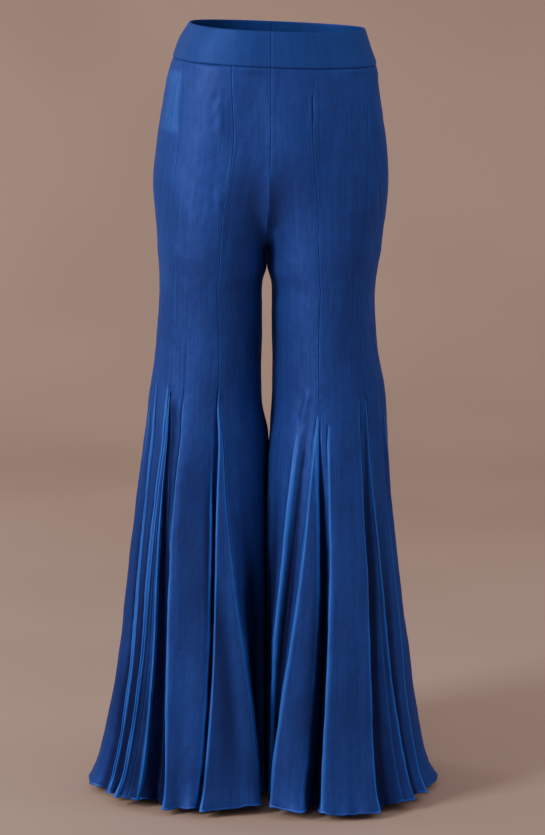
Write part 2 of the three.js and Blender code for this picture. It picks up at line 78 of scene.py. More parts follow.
class Side(Enum):
    """The wearer's right leg stands at -X, the left at +X."""

    RIGHT = "right"
    LEFT = "left"

    @property
    def sign(self) -> int:
        """The direction in which the leg's outer side lies."""
        return -1 if self is Side.RIGHT else 1


class Hang(Enum):
    """How a piece of cloth is held."""

    HUNG = "hung"
    STRETCHED = "stretched"


# ---------------------------------------------------------------------------------------------- sizes


LENGTH = 1075.0
BAND_HEIGHT = 48.0
HEM = -LENGTH
CROTCH = -305.0
CURVE_FROM = -195.0
HALF_WAIST = (0.0, 180.0)
INSEAMS = (-90.0, 270.0)


class HeightTable:
    """Sizes down the body: named columns over falling heights, with a smooth curve through the rows."""

    def __init__(self, columns: Sequence[str], rows: Sequence[Sequence[float]]) -> None:
        """Keep the rows. The first column is the height."""
        self.columns = {name: i + 1 for i, name in enumerate(columns)}
        self.rows = np.array(rows, float)

    def at(self, column: str, height: Array) -> Array:
        """Read one column.

        Args:
            column: its name.
            height: the heights to read it at.

        Returns:
            The values at these heights.
        """
        levels, values = self.rows[:, 0], self.rows[:, self.columns[column]]
        last = len(levels) - 1
        before = np.maximum(np.arange(last + 1) - 1, 0)
        after = np.minimum(np.arange(last + 1) + 1, last)
        slopes = (values[after] - values[before]) / (levels[after] - levels[before])
        h = np.clip(height, levels[last], levels[0])
        i = np.clip(np.searchsorted(-levels, -h, side="right") - 1, 0, last - 1)
        span = levels[i + 1] - levels[i]
        t = (h - levels[i]) / span
        return cubic(values[i], values[i + 1], slopes[i] * span, slopes[i + 1] * span, t)


HIPS = HeightTable(
    ("right", "left", "front", "back"),
    (
        (0, 111, 128, 92, 96),
        (-24, 125.5, 135.5, 95, 100),
        (-48, 134, 144, 98, 106),
        (-80, 143.5, 147.5, 101, 114),
        (-120, 150, 152.5, 103, 123),
        (-160, 156, 159, 104, 130),
        (-215, 160, 165, 104, 135),
        (-260, 158, 165, 102, 133),
        (-300, 153, 160, 98, 126),
        (-345, 151, 154, 94, 116),
    ),
)


@dataclass(frozen=True)
class WearerPose:
    """How the wearer stands: the waist dips to the left and at the front, the legs sway to the right."""

    waist_slope: float = 0.04
    front_dip: float = 5.0
    front_depth: float = 92.0
    level_below: float = -300.0
    sway: float = -5.8
    sway_from: float = -120.0
    sway_to: float = -340.0
    wave_depth: float = 3.0
    wave_length: float = 120.0
    wave_from: float = -525.0
    wave_grow: float = 50.0
    wave_reach: float = 45.0
    hem_wave: float = 2.5
    hem_waves: int = 5

    def middle(self, height: Array, y: Array) -> Array:
        """Give the surface between the legs, where the flares lie against each other in a slight wave."""
        wave = self.wave_depth * np.cos(2 * np.pi * y / self.wave_length)
        wave = wave * smooth((self.wave_from - height) / self.wave_grow)
        return self.sway * smooth((self.sway_from - height) / (self.sway_from - self.sway_to)) + wave

    def place(self, side: Side, out: Array, y: Array, height: Array, hem_reach: float) -> Array:
        """Put points of the unposed cloth where the wearer holds them.

        Args:
            side: the leg.
            out: distance outwards from the plane between the legs.
            y: distance to the back.
            height: height before the pose.
            hem_reach: how far out the hem's middle is, for its wave.

        Returns:
            The points, in millimetres.
        """
        flat = self.middle(height, self.wave_length / 4)
        near = smooth(1 - out / self.wave_reach)
        x = side.sign * out + mix(flat, self.middle(height, y), near)
        waist = 1 - smooth(height / self.level_below)
        dip = waist * (self.waist_slope * x + self.front_dip * np.maximum(0, -y) / self.front_depth)
        low = np.clip((HEM / 2 - height) / (HEM / 2 - HEM), 0, 1) ** 3
        wave = low * self.hem_wave * (1 + np.sin(self.hem_waves * np.arctan2(y, out - hem_reach)))
        return np.stack(np.broadcast_arrays(x, y, height - dip + wave), axis=-1)


POSE = WearerPose()


@dataclass(frozen=True)
class Oval:
    """A cross-section: half widths and depths, and how square its inner and outer sides are."""

    centre: Array
    half: Array
    front: Array
    back: Array
    inner_power: Array
    outer_power: Array

    def point(self, direction: Array, reach: Array) -> tuple[Array, Array]:
        """Find points of the outline.

        Args:
            direction: degrees from the front towards the outer side.
            reach: share of the outline's distance from its centre.

        Returns:
            The distance outwards and the distance to the back.
        """
        across, ahead = np.sin(np.radians(direction)), np.cos(np.radians(direction))
        depth = np.where(ahead > 0, self.front, self.back)
        power = np.where(across < 0, self.inner_power, self.outer_power)
        radius = ((np.abs(across) / self.half) ** power + (np.abs(ahead) / depth) ** power) ** (-1 / power)
        return self.centre + radius * reach * across, -radius * reach * ahead


HIP_POWER = 2.35


def hip_oval(side: Side, height: Array) -> Oval:
    """Give the outline of the hips on one side at some heights."""
    half, front, back = (HIPS.at(column, height) for column in (side.value, "front", "back"))
    power = np.full_like(half, HIP_POWER)
    return Oval(np.zeros_like(half), half, front, back, power, power)


# ---------------------------------------------------------------------------------------------- legs


@dataclass(frozen=True)
class FoldLine:
    """A ridge or valley of the flare: its directions at the knee, half-way and at the hem.

    reach is how far out it is at the hem as a share of the envelope, and crease how sharp it is there,
    from 0, round, to 1. A line with a piece's name carries the seam that this piece starts at. lip is a
    step in the cloth along the line, in millimetres: positive where the cloth before the line laps over
    what comes after, negative where it is the other way round. late is how far under the godets' top it
    begins. shade is how much painted shade the cloth gets there from the godets' top on, from 0 to 1.
    """

    knee: float
    middle: float
    hem: float
    reach: float
    crease: float = 0.0
    piece: str = ""
    lip: float = 0.0
    late: float = 0.0
    shade: float = 0.0


SEAMS = ("front_godet", "side_front_godet", "side_godet", "side_back_godet", "back_godet")

RIGHT_FOLDS = (
    FoldLine(-90, -90, -90, 1.0, 0.0, "front_inner_panel"),
    FoldLine(-74, -74, -72, 1.0),
    FoldLine(-56, -57, -58, 1.0),
    FoldLine(-32, -38, -49, 0.82),
    FoldLine(-14, -24.5, -39.5, 1.04, 0.1, "front_godet"),
    FoldLine(-13.4, -18.5, -26, 1.045),
    FoldLine(-12.8, -12.2, -12, 1.04, 0.9, lip=4.2),
    FoldLine(-12.2, -12.4, -13, 0.88, 0.4, "front_outer_panel"),
    FoldLine(-6, -10.2, -11, 0.965),
    FoldLine(6, 5, -1, 0.965),
    FoldLine(20, 18.5, 6.5, 1.0, lip=1.8),
    FoldLine(35.6, 22.5, 9, 0.84, 0.3, "side_front_godet", shade=1.0),
    FoldLine(36.2, 25.5, 13, 0.74, shade=0.6),
    FoldLine(36.7, 29.5, 22.5, 0.9, 0.4, lip=-1.6),
    FoldLine(37.2, 32.5, 30, 0.93, 0.2, "side_front_panel"),
    FoldLine(39.5, 36.5, 35, 1.0, 0.5, lip=-2.8),
    FoldLine(45, 40.5, 38.5, 0.9),
    FoldLine(57, 50, 45.5, 1.0, 0.3, lip=-2.4),
    FoldLine(67.4, 54.5, 49.5, 0.87, 0.3, "side_godet"),
    FoldLine(68, 67, 66, 1.0),
    FoldLine(68.6, 79, 84, 1.0),
    FoldLine(69.2, 91, 98, 0.9, 0.2, "side_back_panel"),
    FoldLine(88, 99, 105, 0.88),
    FoldLine(106, 111.5, 115, 0.98, 0.3, lip=-3.0),
    FoldLine(124, 124, 127, 1.0),
    FoldLine(139.4, 135, 136, 0.86, 0.2, "side_back_godet"),
    FoldLine(140, 140, 143, 0.74),
    FoldLine(140.6, 146, 151, 0.87),
    FoldLine(141.2, 151, 157, 1.0, 0.5, "back_outer_panel", -3.0),
    FoldLine(156, 162, 167, 1.01),
    FoldLine(170, 174, 177, 0.98, 0.3, lip=3.0),
    FoldLine(182, 184, 185, 0.85),
    FoldLine(192, 190, 192, 0.78, 0.2, "back_godet"),
    FoldLine(192.6, 197, 201, 0.93),
    FoldLine(193.2, 203, 211, 1.0, 0.5, lip=3.0),
    FoldLine(193.8, 209, 218, 0.88, 0.2, "back_inner_panel"),
    FoldLine(209, 218, 227, 0.82),
    FoldLine(227, 232, 238, 0.97, 0.3, lip=-2.5),
    FoldLine(248, 250, 253, 1.0),
    FoldLine(270, 270, 270, 1.0),
)
LEFT_FOLDS = (
    FoldLine(-90, -90, -90, 1.0, 0.0, "front_inner_panel"),
    FoldLine(-74, -75, -76, 1.0),
    FoldLine(-52, -58, -64, 0.97),
    FoldLine(-25, -33, -51, 1.0, 0.5, lip=1.3, late=30),
    FoldLine(-17, -28.5, -44.5, 0.86, shade=0.35),
    FoldLine(-10, -21, -38, 1.04, 0.7, "front_godet", -2.8, 24),
    FoldLine(-9.4, -10.5, -23.5, 1.0),
    FoldLine(-8.8, -8, -20.5, 0.8),
    FoldLine(-8.2, -6, -18.3, 0.86, 0.3, "front_outer_panel"),
    FoldLine(-1, -4.3, -16, 1.0, 0.5, lip=-3.0, late=36),
    FoldLine(10, 6, -6, 1.01),
    FoldLine(20, 14, 3, 1.0),
    FoldLine(28, 20, 12, 1.0, 0.4, lip=2.0),
    FoldLine(34.9, 21.5, 13.5, 0.88, 0.3, "side_front_godet", shade=0.45),
    FoldLine(35.5, 26, 20, 0.88),
    FoldLine(36.1, 31, 27, 0.95, 0.3, lip=1.4),
    FoldLine(36.7, 34.3, 34, 1.0, 0.6, "side_front_panel", 2.0),
    FoldLine(44, 38.5, 36.5, 0.9),
    FoldLine(60, 55, 48.5, 1.0, 0.5, lip=2.4),
    FoldLine(66.4, 58.5, 53, 0.87, 0.3, "side_godet"),
    FoldLine(67, 68, 64, 0.94),
    FoldLine(67.6, 80, 84, 1.0),
    FoldLine(68.2, 91, 98, 0.9, 0.2, "side_back_panel"),
    FoldLine(88, 100, 106, 0.88),
    FoldLine(107, 113, 117, 0.98, 0.3, lip=-3.0),
    FoldLine(125, 126, 129, 1.0),
    FoldLine(139.4, 137, 138, 0.84, 0.2, "side_back_godet"),
    FoldLine(140, 142, 145, 0.75),
    FoldLine(140.6, 148, 154, 0.9),
    FoldLine(141.2, 153, 160, 1.0, 0.5, "back_outer_panel", -3.0),
    FoldLine(155, 164, 170, 0.98),
    FoldLine(169, 175, 180, 1.0, 0.3, lip=3.0),
    FoldLine(181, 185, 189, 0.86),
    FoldLine(190, 191, 196, 0.8, 0.2, "back_godet"),
    FoldLine(190.6, 197, 204, 0.95),
    FoldLine(191.2, 203, 213, 1.0, 0.5, lip=3.0),
    FoldLine(191.8, 209, 221, 0.87, 0.2, "back_inner_panel"),
    FoldLine(208, 218, 229, 0.81),
    FoldLine(226, 232, 240, 0.97, 0.3, lip=-2.5),
    FoldLine(248, 250, 252, 1.0),
    FoldLine(270, 270, 270, 1.0),
)


@dataclass(frozen=True)
class LegCut:
    """One leg: the cloth's envelope, where its seams run above the knee, and how its flare hangs."""

    side: Side
    godet_top: float
    envelope: HeightTable
    hip_seams: HeightTable
    leg_seams: HeightTable
    folds: tuple[FoldLine, ...]
    middle_at: float = 0.45
    depth_growth: float = 1.8
    depth_from: float = 0.08
    spline_over: float = 40.0
    opens_over: float = 8.0
    pressed_power: float = 7.0
    softenings: int = 1
    pressed_by: float = 0.7
    leg_from: float = -170.0
    leg_over: float = 180.0
    straight_over: float = 90.0
    shut_within: float = 1.1

    @property
    def line_count(self) -> int:
        """Count the fold lines from inseam to inseam."""
        return len(self.folds)

    def values(self, name: str) -> Array:
        """List one value of all fold lines."""
        return np.array([getattr(fold, name) for fold in self.folds], float)

    @property
    def starts(self) -> list[tuple[str, int]]:
        """List the pieces in order, each with the fold line that its first seam runs on."""
        return [(fold.piece, i) for i, fold in enumerate(self.folds) if fold.piece]

    @property
    def knee_seams(self) -> Array:
        """Give the seams at the knee as directions, from inseam to inseam: each godet closes into one."""
        lines = [line for _, line in self.starts] + [self.line_count - 1]
        middles = [
            (self.folds[lines[i]].knee + self.folds[lines[i + 1]].knee) / 2
            for i, (name, _) in enumerate(self.starts)
            if name.endswith("godet")
        ]
        return np.array([self.folds[0].knee, *middles, self.folds[-1].knee])

    def oval(self, height: Array) -> Oval:
        """Give the envelope of the leg at some heights."""
        outer, inner, front, back = (self.envelope.at(c, height) for c in ("outer", "inner", "front", "back"))
        pressed = smooth((self.godet_top - height) / (self.godet_top - HEM) / self.pressed_by)
        return Oval(
            (outer + inner) / 2,
            (outer - inner) / 2,
            front,
            back,
            mix(2.0, self.pressed_power, pressed),
            np.full_like(outer, 2.0),
        )

    def carried(self, direction: Array, seams: Array) -> Array:
        """Carry directions at the knee up between their two seams.

        Args:
            direction: directions at the knee.
            seams: where the seams run at each height, one row a height.

        Returns:
            The directions at these heights.
        """
        knee = self.knee_seams
        k = np.clip(np.searchsorted(knee, direction, side="right"), 1, len(knee) - 1)
        share = (direction - knee[k - 1]) / (knee[k] - knee[k - 1])
        rows = np.arange(seams.shape[0])[:, None]
        return mix(seams[rows, k - 1], seams[rows, k], share)

    def seam_rows(self, table: HeightTable, height: Array, ends_at: tuple[float, float]) -> Array:
        """Read where all seams run at some heights, with the two centre seams or inseams at the ends."""
        ends = [np.full_like(height, end) for end in ends_at]
        return np.stack([ends[0], *(table.at(seam, height) for seam in SEAMS), ends[1]], axis=1)

    def tube(self, direction: Array, height: Array) -> Array:
        """Give the cloth above the godets, where it turns from the hips to the leg.

        Args:
            direction: directions at the knee, one row a height.
            height: the heights.

        Returns:
            The posed points.
        """
        seams = self.knee_seams
        front_seam, back_seam = seams[1], seams[-2]
        towards_centre = np.clip(
            np.maximum(
                (front_seam - direction) / (front_seam - INSEAMS[0]),
                (direction - back_seam) / (INSEAMS[1] - back_seam),
            ),
            0,
            1,
        )
        level = height[:, None]
        gradual = smooth((self.leg_from - level) / self.leg_over)
        in_curve = 1 - np.sqrt(1 - np.clip((CURVE_FROM - level) / (CURVE_FROM - CROTCH), 0, 1) ** 2)
        share = mix(gradual, in_curve, towards_centre**2)
        hip = hip_oval(self.side, level)
        hip_seams = self.seam_rows(self.hip_seams, height, HALF_WAIST)
        hip_out, hip_y = hip.point(self.carried(direction, hip_seams), 1.0)
        leg_seams = self.seam_rows(self.leg_seams, height, INSEAMS)
        leg_out, leg_y = self.oval(level).point(self.carried(direction, leg_seams), 1.0)
        return self.placed(mix(hip_out, leg_out, share), mix(hip_y, leg_y, share), level)

    def placed(self, out: Array, y: Array, level: Array) -> Array:
        """Pose points of this leg."""
        return POSE.place(self.side, out, y, level, float(self.envelope.rows[-1, 1]) / 2)

    def fold_lines(self, height: Array) -> tuple[Array, Array]:
        """Give the direction and the reach of every fold line, one row a height."""
        t = np.clip((self.godet_top - height) / (self.godet_top - HEM), 0, 1)[:, None]
        knee, middle, hem, reach = (self.values(name) for name in ("knee", "middle", "hem", "reach"))
        to_middle = t * (1 - t) / (self.middle_at * (1 - self.middle_at))
        direction = mix(knee, hem, t) + (middle - mix(knee, hem, self.middle_at)) * to_middle
        depth = (1 - (1 - t) ** self.depth_growth) * smooth(t / self.depth_from)
        return direction, 1 - (1 - reach) * depth

    def flare(self, steps: int, height: Array) -> Array:
        """Give the cloth from the godets' top to the hem as rows of points all round.

        Args:
            steps: columns from one fold line to the next.
            height: the heights.

        Returns:
            The posed points, one row a height, with the first column repeated as the last.
        """
        direction, reach = self.fold_lines(height)
        level = height[:, None]
        oval = self.oval(level)
        ridge = np.stack(oval.point(direction, reach), axis=-1)[:, :-1]
        count = ridge.shape[1]
        p0, p1, p2, p3 = (np.roll(ridge, shift, axis=1)[:, :, None] for shift in (1, 0, -1, -2))
        d0, d1, d2 = (
            np.maximum(np.linalg.norm(b - a, axis=-1, keepdims=True), 1e-8) ** 0.5
            for a, b in ((p0, p1), (p1, p2), (p2, p3))
        )
        m1 = ((p1 - p0) / d0 - (p2 - p0) / (d0 + d1) + (p2 - p1) / d1) * d1
        m2 = ((p2 - p1) / d1 - (p3 - p1) / (d1 + d2) + (p3 - p2) / d2) * d1
        s = (np.arange(steps) / steps)[None, None, :, None]
        spline, straight = cubic(p1, p2, m1, m2, s), mix(p1, p2, s)
        crease = self.values("crease")[:-1]
        sharp = mix(crease[:, None], np.roll(crease, -1)[:, None], s[0, :, :, 0])
        rounded = smooth((self.godet_top - level) / self.spline_over)
        fall = smooth((self.godet_top - level) / self.straight_over)
        folded = mix(spline, straight, (sharp[None] * fall[:, :, None])[..., None])
        turn = mix(direction[:, :-1, None], direction[:, 1:, None], s[..., 0])
        ratio = mix(reach[:, :-1, None], reach[:, 1:, None], s[..., 0])
        deep = Oval(*(np.asarray(getattr(oval, name))[:, :, None] for name in Oval.__dataclass_fields__))
        plain = np.stack(deep.point(turn, ratio), axis=-1)
        ring = mix(plain, folded, rounded[..., None, None]).reshape(len(height), count * steps, 2)
        for _ in range(self.softenings):
            softened = (np.roll(ring, 1, axis=1) + 2 * ring + np.roll(ring, -1, axis=1)) / 4
            ring = mix(ring, softened, rounded[..., None])
        ring = np.concatenate([ring, ring[:, :1]], axis=1)
        return self.placed(ring[..., 0], ring[..., 1], level)

    def closed_direction(self, lines: Array, height: Array) -> Array:
        """Give directions at the knee for line numbers, with the godets closed above their top."""
        knee = self.values("knee")
        nearest = self.knee_seams[np.abs(self.knee_seams - knee[:, None]).argmin(axis=1)]
        shut = np.where(np.abs(nearest - knee) <= self.shut_within, nearest, knee)
        opened = smooth((self.godet_top + self.opens_over - height) / self.opens_over)[:, None]
        at = np.arange(self.line_count)
        return mix(np.interp(lines, at, shut)[None], np.interp(lines, at, knee)[None], opened)


RIGHT_LEG = LegCut(
    side=Side.RIGHT,
    godet_top=-500.0,
    envelope=HeightTable(
        ("outer", "inner", "front", "back"),
        (
            (-170, 157, 1, 104, 131),
            (-305, 153, 0.5, 97, 119),
            (-335, 151, 0.8, 93, 111),
            (-355, 151, 6, 91, 106),
            (-385, 152, 6.5, 88, 99),
            (-440, 155.5, 7.2, 84, 89),
            (-495, 163, 7.2, 83, 85),
            (-525, 167.5, 6.4, 86, 88),
            (-568, 173.5, 1.4, 93, 94.5),
            (-640, 184, 1.4, 104, 106),
            (-755, 196.5, 1.4, 121, 122),
            (-873, 209, 1.4, 134, 135),
            (-992, 230.5, 1.4, 146, 147),
            (-1045, 244, 1.4, 152, 153),
            (HEM, 255, 1.4, 157, 158),
        ),
    ),
    hip_seams=HeightTable(
        SEAMS,
        (
            (-48, 29.8, 65, 67, 112, 151),
            (-100, 27.8, 61.3, 68, 112, 150),
            (-155, 26.7, 61.3, 69, 112, 148),
            (-230, 30.3, 61.3, 71.5, 113, 146),
            (-310, 35, 64, 76, 115, 145),
        ),
    ),
    leg_seams=HeightTable(
        SEAMS,
        (
            (-290, -8, 36.5, 74, 136, 196),
            (-346, -6.5, 38, 72, 138, 194),
            (-412, -9.5, 38.7, 70, 139, 193),
            (-500, -13.1, 36.4, 68.3, 140.3, 192.9),
        ),
    ),
    folds=RIGHT_FOLDS,
)
LEFT_LEG = LegCut(
    side=Side.LEFT,
    godet_top=-514.0,
    envelope=HeightTable(
        ("outer", "inner", "front", "back"),
        (
            (-170, 160, 1, 104, 131),
            (-305, 159.5, 0.5, 99, 118),
            (-335, 154, 0.8, 96, 109),
            (-355, 151.5, 6, 94, 104),
            (-385, 150.5, 6.5, 92, 96),
            (-440, 153.5, 7.2, 90, 84),
            (-495, 162.5, 7.2, 91, 79),
            (-525, 166, 6.4, 94, 81),
            (-568, 170, 1.4, 102, 87),
            (-640, 175.5, 1.4, 115, 97),
            (-755, 188.5, 1.4, 134, 112),
            (-873, 201, 1.4, 149, 125),
            (-992, 219.5, 1.4, 163, 136),
            (-1045, 233, 1.4, 170, 141),
            (HEM, 245, 1.4, 176, 146),
        ),
    ),
    hip_seams=HeightTable(
        SEAMS,
        (
            (-48, 33, 68.2, 70.2, 112, 151),
            (-100, 29.6, 66, 70.2, 112, 150),
            (-155, 29.8, 63.6, 69, 112, 148),
            (-230, 33, 62.6, 71, 113, 146),
            (-310, 38, 63.5, 76, 115, 145),
        ),
    ),
    leg_seams=HeightTable(
        SEAMS,
        (
            (-290, -6.5, 33, 74, 136, 194),
            (-346, -3.5, 36, 72, 138, 192),
            (-412, -5, 36.3, 70, 139, 191),
            (-514, -9.1, 35.8, 67.3, 140.3, 190.9),
        ),
    ),
    folds=LEFT_FOLDS,
)


# ---------------------------------------------------------------------------------------------- relief


@dataclass(frozen=True)
class Crumple:
    """Shallow uneven waves in the cloth, the same on each run.

    wavelengths are the shortest waves across, along the depth and down the cloth, in millimetres. The
    longest are as many times longer as least is under 1.
    """

    depth: float
    wavelengths: tuple[float, float, float]
    seed: int
    waves: int = 14
    least: float = 0.55

    def at(self, points: Array) -> Array:
        """Give the rise of the cloth at some points."""
        rng = np.random.default_rng(self.seed)
        total = np.zeros(points.shape[:-1])
        for _ in range(self.waves):
            way = rng.normal(size=3)
            way *= mix(self.least, 1.0, rng.random()) / np.linalg.norm(way)
            k = 2 * np.pi * way / np.array(self.wavelengths)
            total += np.sin(points @ k + rng.uniform(0, 2 * np.pi))
        return self.depth * total / math.sqrt(self.waves / 2)


@dataclass(frozen=True)
class SoftCrease:
    """A crease in the front of the cloth, from one point to another as seen from the front.

    start and end are x and z in millimetres. height is positive for a ridge. drop shifts a shallow
    valley of the same height to the crease's right, so that the ridge has a shaded side. taper is the
    share of the length over which each end fades.
    """

    start: tuple[float, float]
    end: tuple[float, float]
    width: float
    height: float
    drop: float = 0.0
    taper: float = 0.35
    overrun: float = 0.06
    valley_at: float = 1.6

    def at(self, points: Array, facing: Array) -> Array:
        """Give the rise of the cloth at some points.

        Args:
            points: points of the cloth.
            facing: how far each point faces the front, from 0 to 1.

        Returns:
            The rise, in millimetres.
        """
        a, b = np.array(self.start), np.array(self.end)
        way = b - a
        length = float(np.hypot(*way))
        flat = points[..., (0, 2)] - a
        along = (flat @ way) / length**2
        aside = (flat @ np.array([way[1], -way[0]])) / length
        last = 1 + self.overrun
        ends = smooth((along + self.overrun) / self.taper) * smooth((last - along) / self.taper)
        ridge = np.exp(-((aside / self.width) ** 2))
        valley = np.exp(-(((aside - self.valley_at * self.width) / self.width) ** 2))
        return self.height * (ridge - self.drop * valley) * ends * facing


@dataclass(frozen=True)
class PaintedShadePatch:
    """A place on the front where the satin hangs away from the light, darkened with painted shade. Sizes in
    millimetres.
    """

    centre: tuple[float, float]
    reach: tuple[float, float]
    depth: float

    def at(self, points: Array) -> Array:
        """Give the painted shade at some points."""
        x, z = ((points[..., axis] - c) / r for axis, c, r in zip((0, 2), self.centre, self.reach))
        front = points[..., 1] < 0
        return self.depth * np.exp(-(x**4 + z**4)) * front


@dataclass(frozen=True)
class Glint:
    """A painted highlight where the stretched satin catches the light, up to a seam. Sizes in millimetres.

    line is the seam as x and z from its low to its high end, and fades are how softly it ends there.
    """

    line: tuple[tuple[float, float], ...]
    width: float
    strength: float
    edge: float = 1.2
    fades: tuple[float, float] = (18.0, 14.0)
    ends_behind: float = 20.0

    def at(self, points: Array) -> Array:
        """Give the painted highlight at some points."""
        x, height = points[..., 0], points[..., 2]
        places, heights = zip(*self.line)
        past = x - np.interp(height, heights, places)
        across = smooth((self.edge - past) / self.edge) * np.exp(-((np.minimum(past, 0) / self.width) ** 2))
        along = smooth((height - heights[0]) / self.fades[0]) * smooth((heights[-1] - height) / self.fades[1])
        return self.strength * across * along * (points[..., 1] < self.ends_behind)


@dataclass(frozen=True)
class ClothRelief:
    """All that shapes the cloth between its folds: creases in their places, and shallow waves, with patches
    of painted shade and painted highlights.
    """

    creases: tuple[SoftCrease, ...]
    crumples: tuple[Crumple, ...]
    shade_patches: tuple[PaintedShadePatch, ...] = ()
    glints: tuple[Glint, ...] = ()
    faces_from: float = 0.05
    faces_over: float = 0.5

    def dullness_and_shade(self, points: Array) -> Array:
        """Give the painted shade of the patches at some points."""
        return sum((patch.at(points) for patch in self.shade_patches), np.zeros(points.shape[:-1]))

    def shine(self, points: Array) -> Array:
        """Give the painted highlight at some points, beyond what the folds paint."""
        return sum((glint.at(points) for glint in self.glints), np.zeros(points.shape[:-1]))

    def at(self, points: Array, normals: Array) -> Array:
        """Give the rise of the cloth at some points with their normals: creases only where it faces front."""
        facing = smooth((-normals[..., 1] - self.faces_from) / self.faces_over)
        total = sum((crumple.at(points) for crumple in self.crumples), np.zeros(points.shape[:-1]))
        for crease in self.creases:
            total += crease.at(points, facing)
        return total


RELIEF = ClothRelief(
    creases=(
        SoftCrease((-50, -156), (-63, -244), 2.2, 0.55, 0.4),
        SoftCrease((-63, -244), (-69, -325), 2.2, 0.45, 0.3),
        SoftCrease((-107, -274), (-66, -276), 1.3, -0.3),
        SoftCrease((-72, -92), (-66, -146), 6.0, 1.1, 0.5),
        SoftCrease((-76, -86), (-70, -100), 4.0, -0.9),
        SoftCrease((-74, -222), (-68, -240), 5.0, 1.0, 0.6),
        SoftCrease((-79, -208), (-78, -226), 3.5, -0.8),
        SoftCrease((-79, -610), (-83, -780), 2.4, 1.2, 0.6),
        SoftCrease((-88, -506), (-75, -514), 1.6, 0.8, 0.7),
        SoftCrease((-88, -526), (-74, -534), 1.7, 0.9, 0.7),
        SoftCrease((-88, -546), (-75, -560), 2.0, 1.0, 0.7),
        SoftCrease((-122, -425), (-123, -520), 3.4, 1.5, 0.8),
        SoftCrease((-127, -500), (-129, -545), 3.6, 1.4, 0.8),
        SoftCrease((-148, -708), (-141, -730), 2.4, -1.3),
        SoftCrease((-168, -920), (-161, -940), 2.8, -1.4),
        SoftCrease((64, -486), (73, -480), 1.5, 0.7, 0.7),
        SoftCrease((64, -498), (74, -490), 1.6, 0.8, 0.7),
        SoftCrease((64, -512), (74, -502), 1.8, 0.9, 0.7),
        SoftCrease((53, -496), (42, -540), 4.5, 1.6, 0.5),
        SoftCrease((46, -580), (45, -604), 3.0, -1.3),
        SoftCrease((34, -580), (14, -730), 3.2, 1.6, 0.8),
        SoftCrease((2, -70), (14, -73), 1.1, 0.45, 0.6),
        SoftCrease((2, -80), (15, -82), 1.2, 0.5, 0.6),
        SoftCrease((2, -91), (16, -92), 1.2, 0.5, 0.6),
        SoftCrease((2, -102), (16, -101), 1.2, 0.45, 0.6),
        SoftCrease((2, -113), (14, -112), 1.1, 0.4, 0.6),
        SoftCrease((80, -205), (84, -400), 3.5, 0.35, 0.6),
        SoftCrease((55, -84), (57, -132), 1.8, -1.2, 0.5),
        SoftCrease((60, -930), (88, -1010), 8.0, 1.2, 0.6),
        SoftCrease((20, -900), (28, -1010), 7.0, 1.4, 0.6),
    ),
    crumples=(
        Crumple(0.8, (60.0, 60.0, 190.0), 3),
        Crumple(0.28, (26.0, 26.0, 62.0), 8),
        Crumple(0.1, (11.0, 11.0, 20.0), 12),
    ),
    # patches of painted shade where the satin hangs away from the light
    shade_patches=(
        PaintedShadePatch((-104, -700), (30, 165), 0.5),
        PaintedShadePatch((-30, -250), (30, 75), 0.25),
        PaintedShadePatch((-60, -900), (26, 150), 0.2),
        PaintedShadePatch((98, -930), (26, 150), 0.3),
        PaintedShadePatch((66, -860), (10, 190), 0.2),
        PaintedShadePatch((-185, -780), (42, 230), 0.42),
        PaintedShadePatch((-215, -1000), (50, 100), 0.35),
    ),
    # a painted highlight on the right hip
    glints=(Glint(((-127, -154), (-126, -100), (-121, -50)), 34.0, 0.68),),
)


# ---------------------------------------------------------------------------------------------- cloth


@dataclass(frozen=True)
class Satin:
    """The cloth itself, and how its edges are worked. Sizes in millimetres."""

    thickness: float = 1.0
    seam_roll: float = 0.35
    seam_width: float = 0.7
    gap: float = 0.04
    middle_gap: float = 0.02
    crotch_closing: float = 0.3
    crotch_span: tuple[float, float] = (-24.0, 42.0)
    crotch_ease: float = 12.0
    inner_roll: float = 0.4
    tuck: float = 1.1
    tuck_depth: float = 1.6
    hem_bead: float = 0.4
    hem_depth: float = 3.0
    hem_groove: float = 0.15
    bead_edge: float = 1.2
    groove_width: float = 0.8

    def seam_dip(self, distance: Array) -> Array:
        """Give how far the cloth turns in at a distance from its seam."""
        return self.seam_roll * np.exp(-((distance / self.seam_width) ** 2))

    def band_tuck(self, below: Array) -> Array:
        """Give how far the cloth is drawn in where it is sewn under the waistband."""
        return self.tuck * np.exp(-((np.maximum(0, below) / self.tuck_depth) ** 2))

    def closing(self, level: Array) -> Array:
        """Give how far the two legs' cloth is drawn together on each side near the crotch."""
        over = level - CROTCH - self.crotch_span[0]
        under = CROTCH + self.crotch_span[1] - level
        return self.crotch_closing * smooth(over / self.crotch_ease) * smooth(under / self.crotch_ease)

    def hem_rise(self, above_hem: Array) -> Array:
        """Give how far the rolled hem stands out, with the stitched groove over it."""
        under, over = above_hem + self.bead_edge / 2, self.hem_depth - above_hem
        bead = smooth(under / self.bead_edge) * smooth(over / self.bead_edge)
        groove = np.exp(-(((above_hem - self.hem_depth) / self.groove_width) ** 2))
        return self.hem_bead * bead - self.hem_groove * groove


SATIN = Satin()


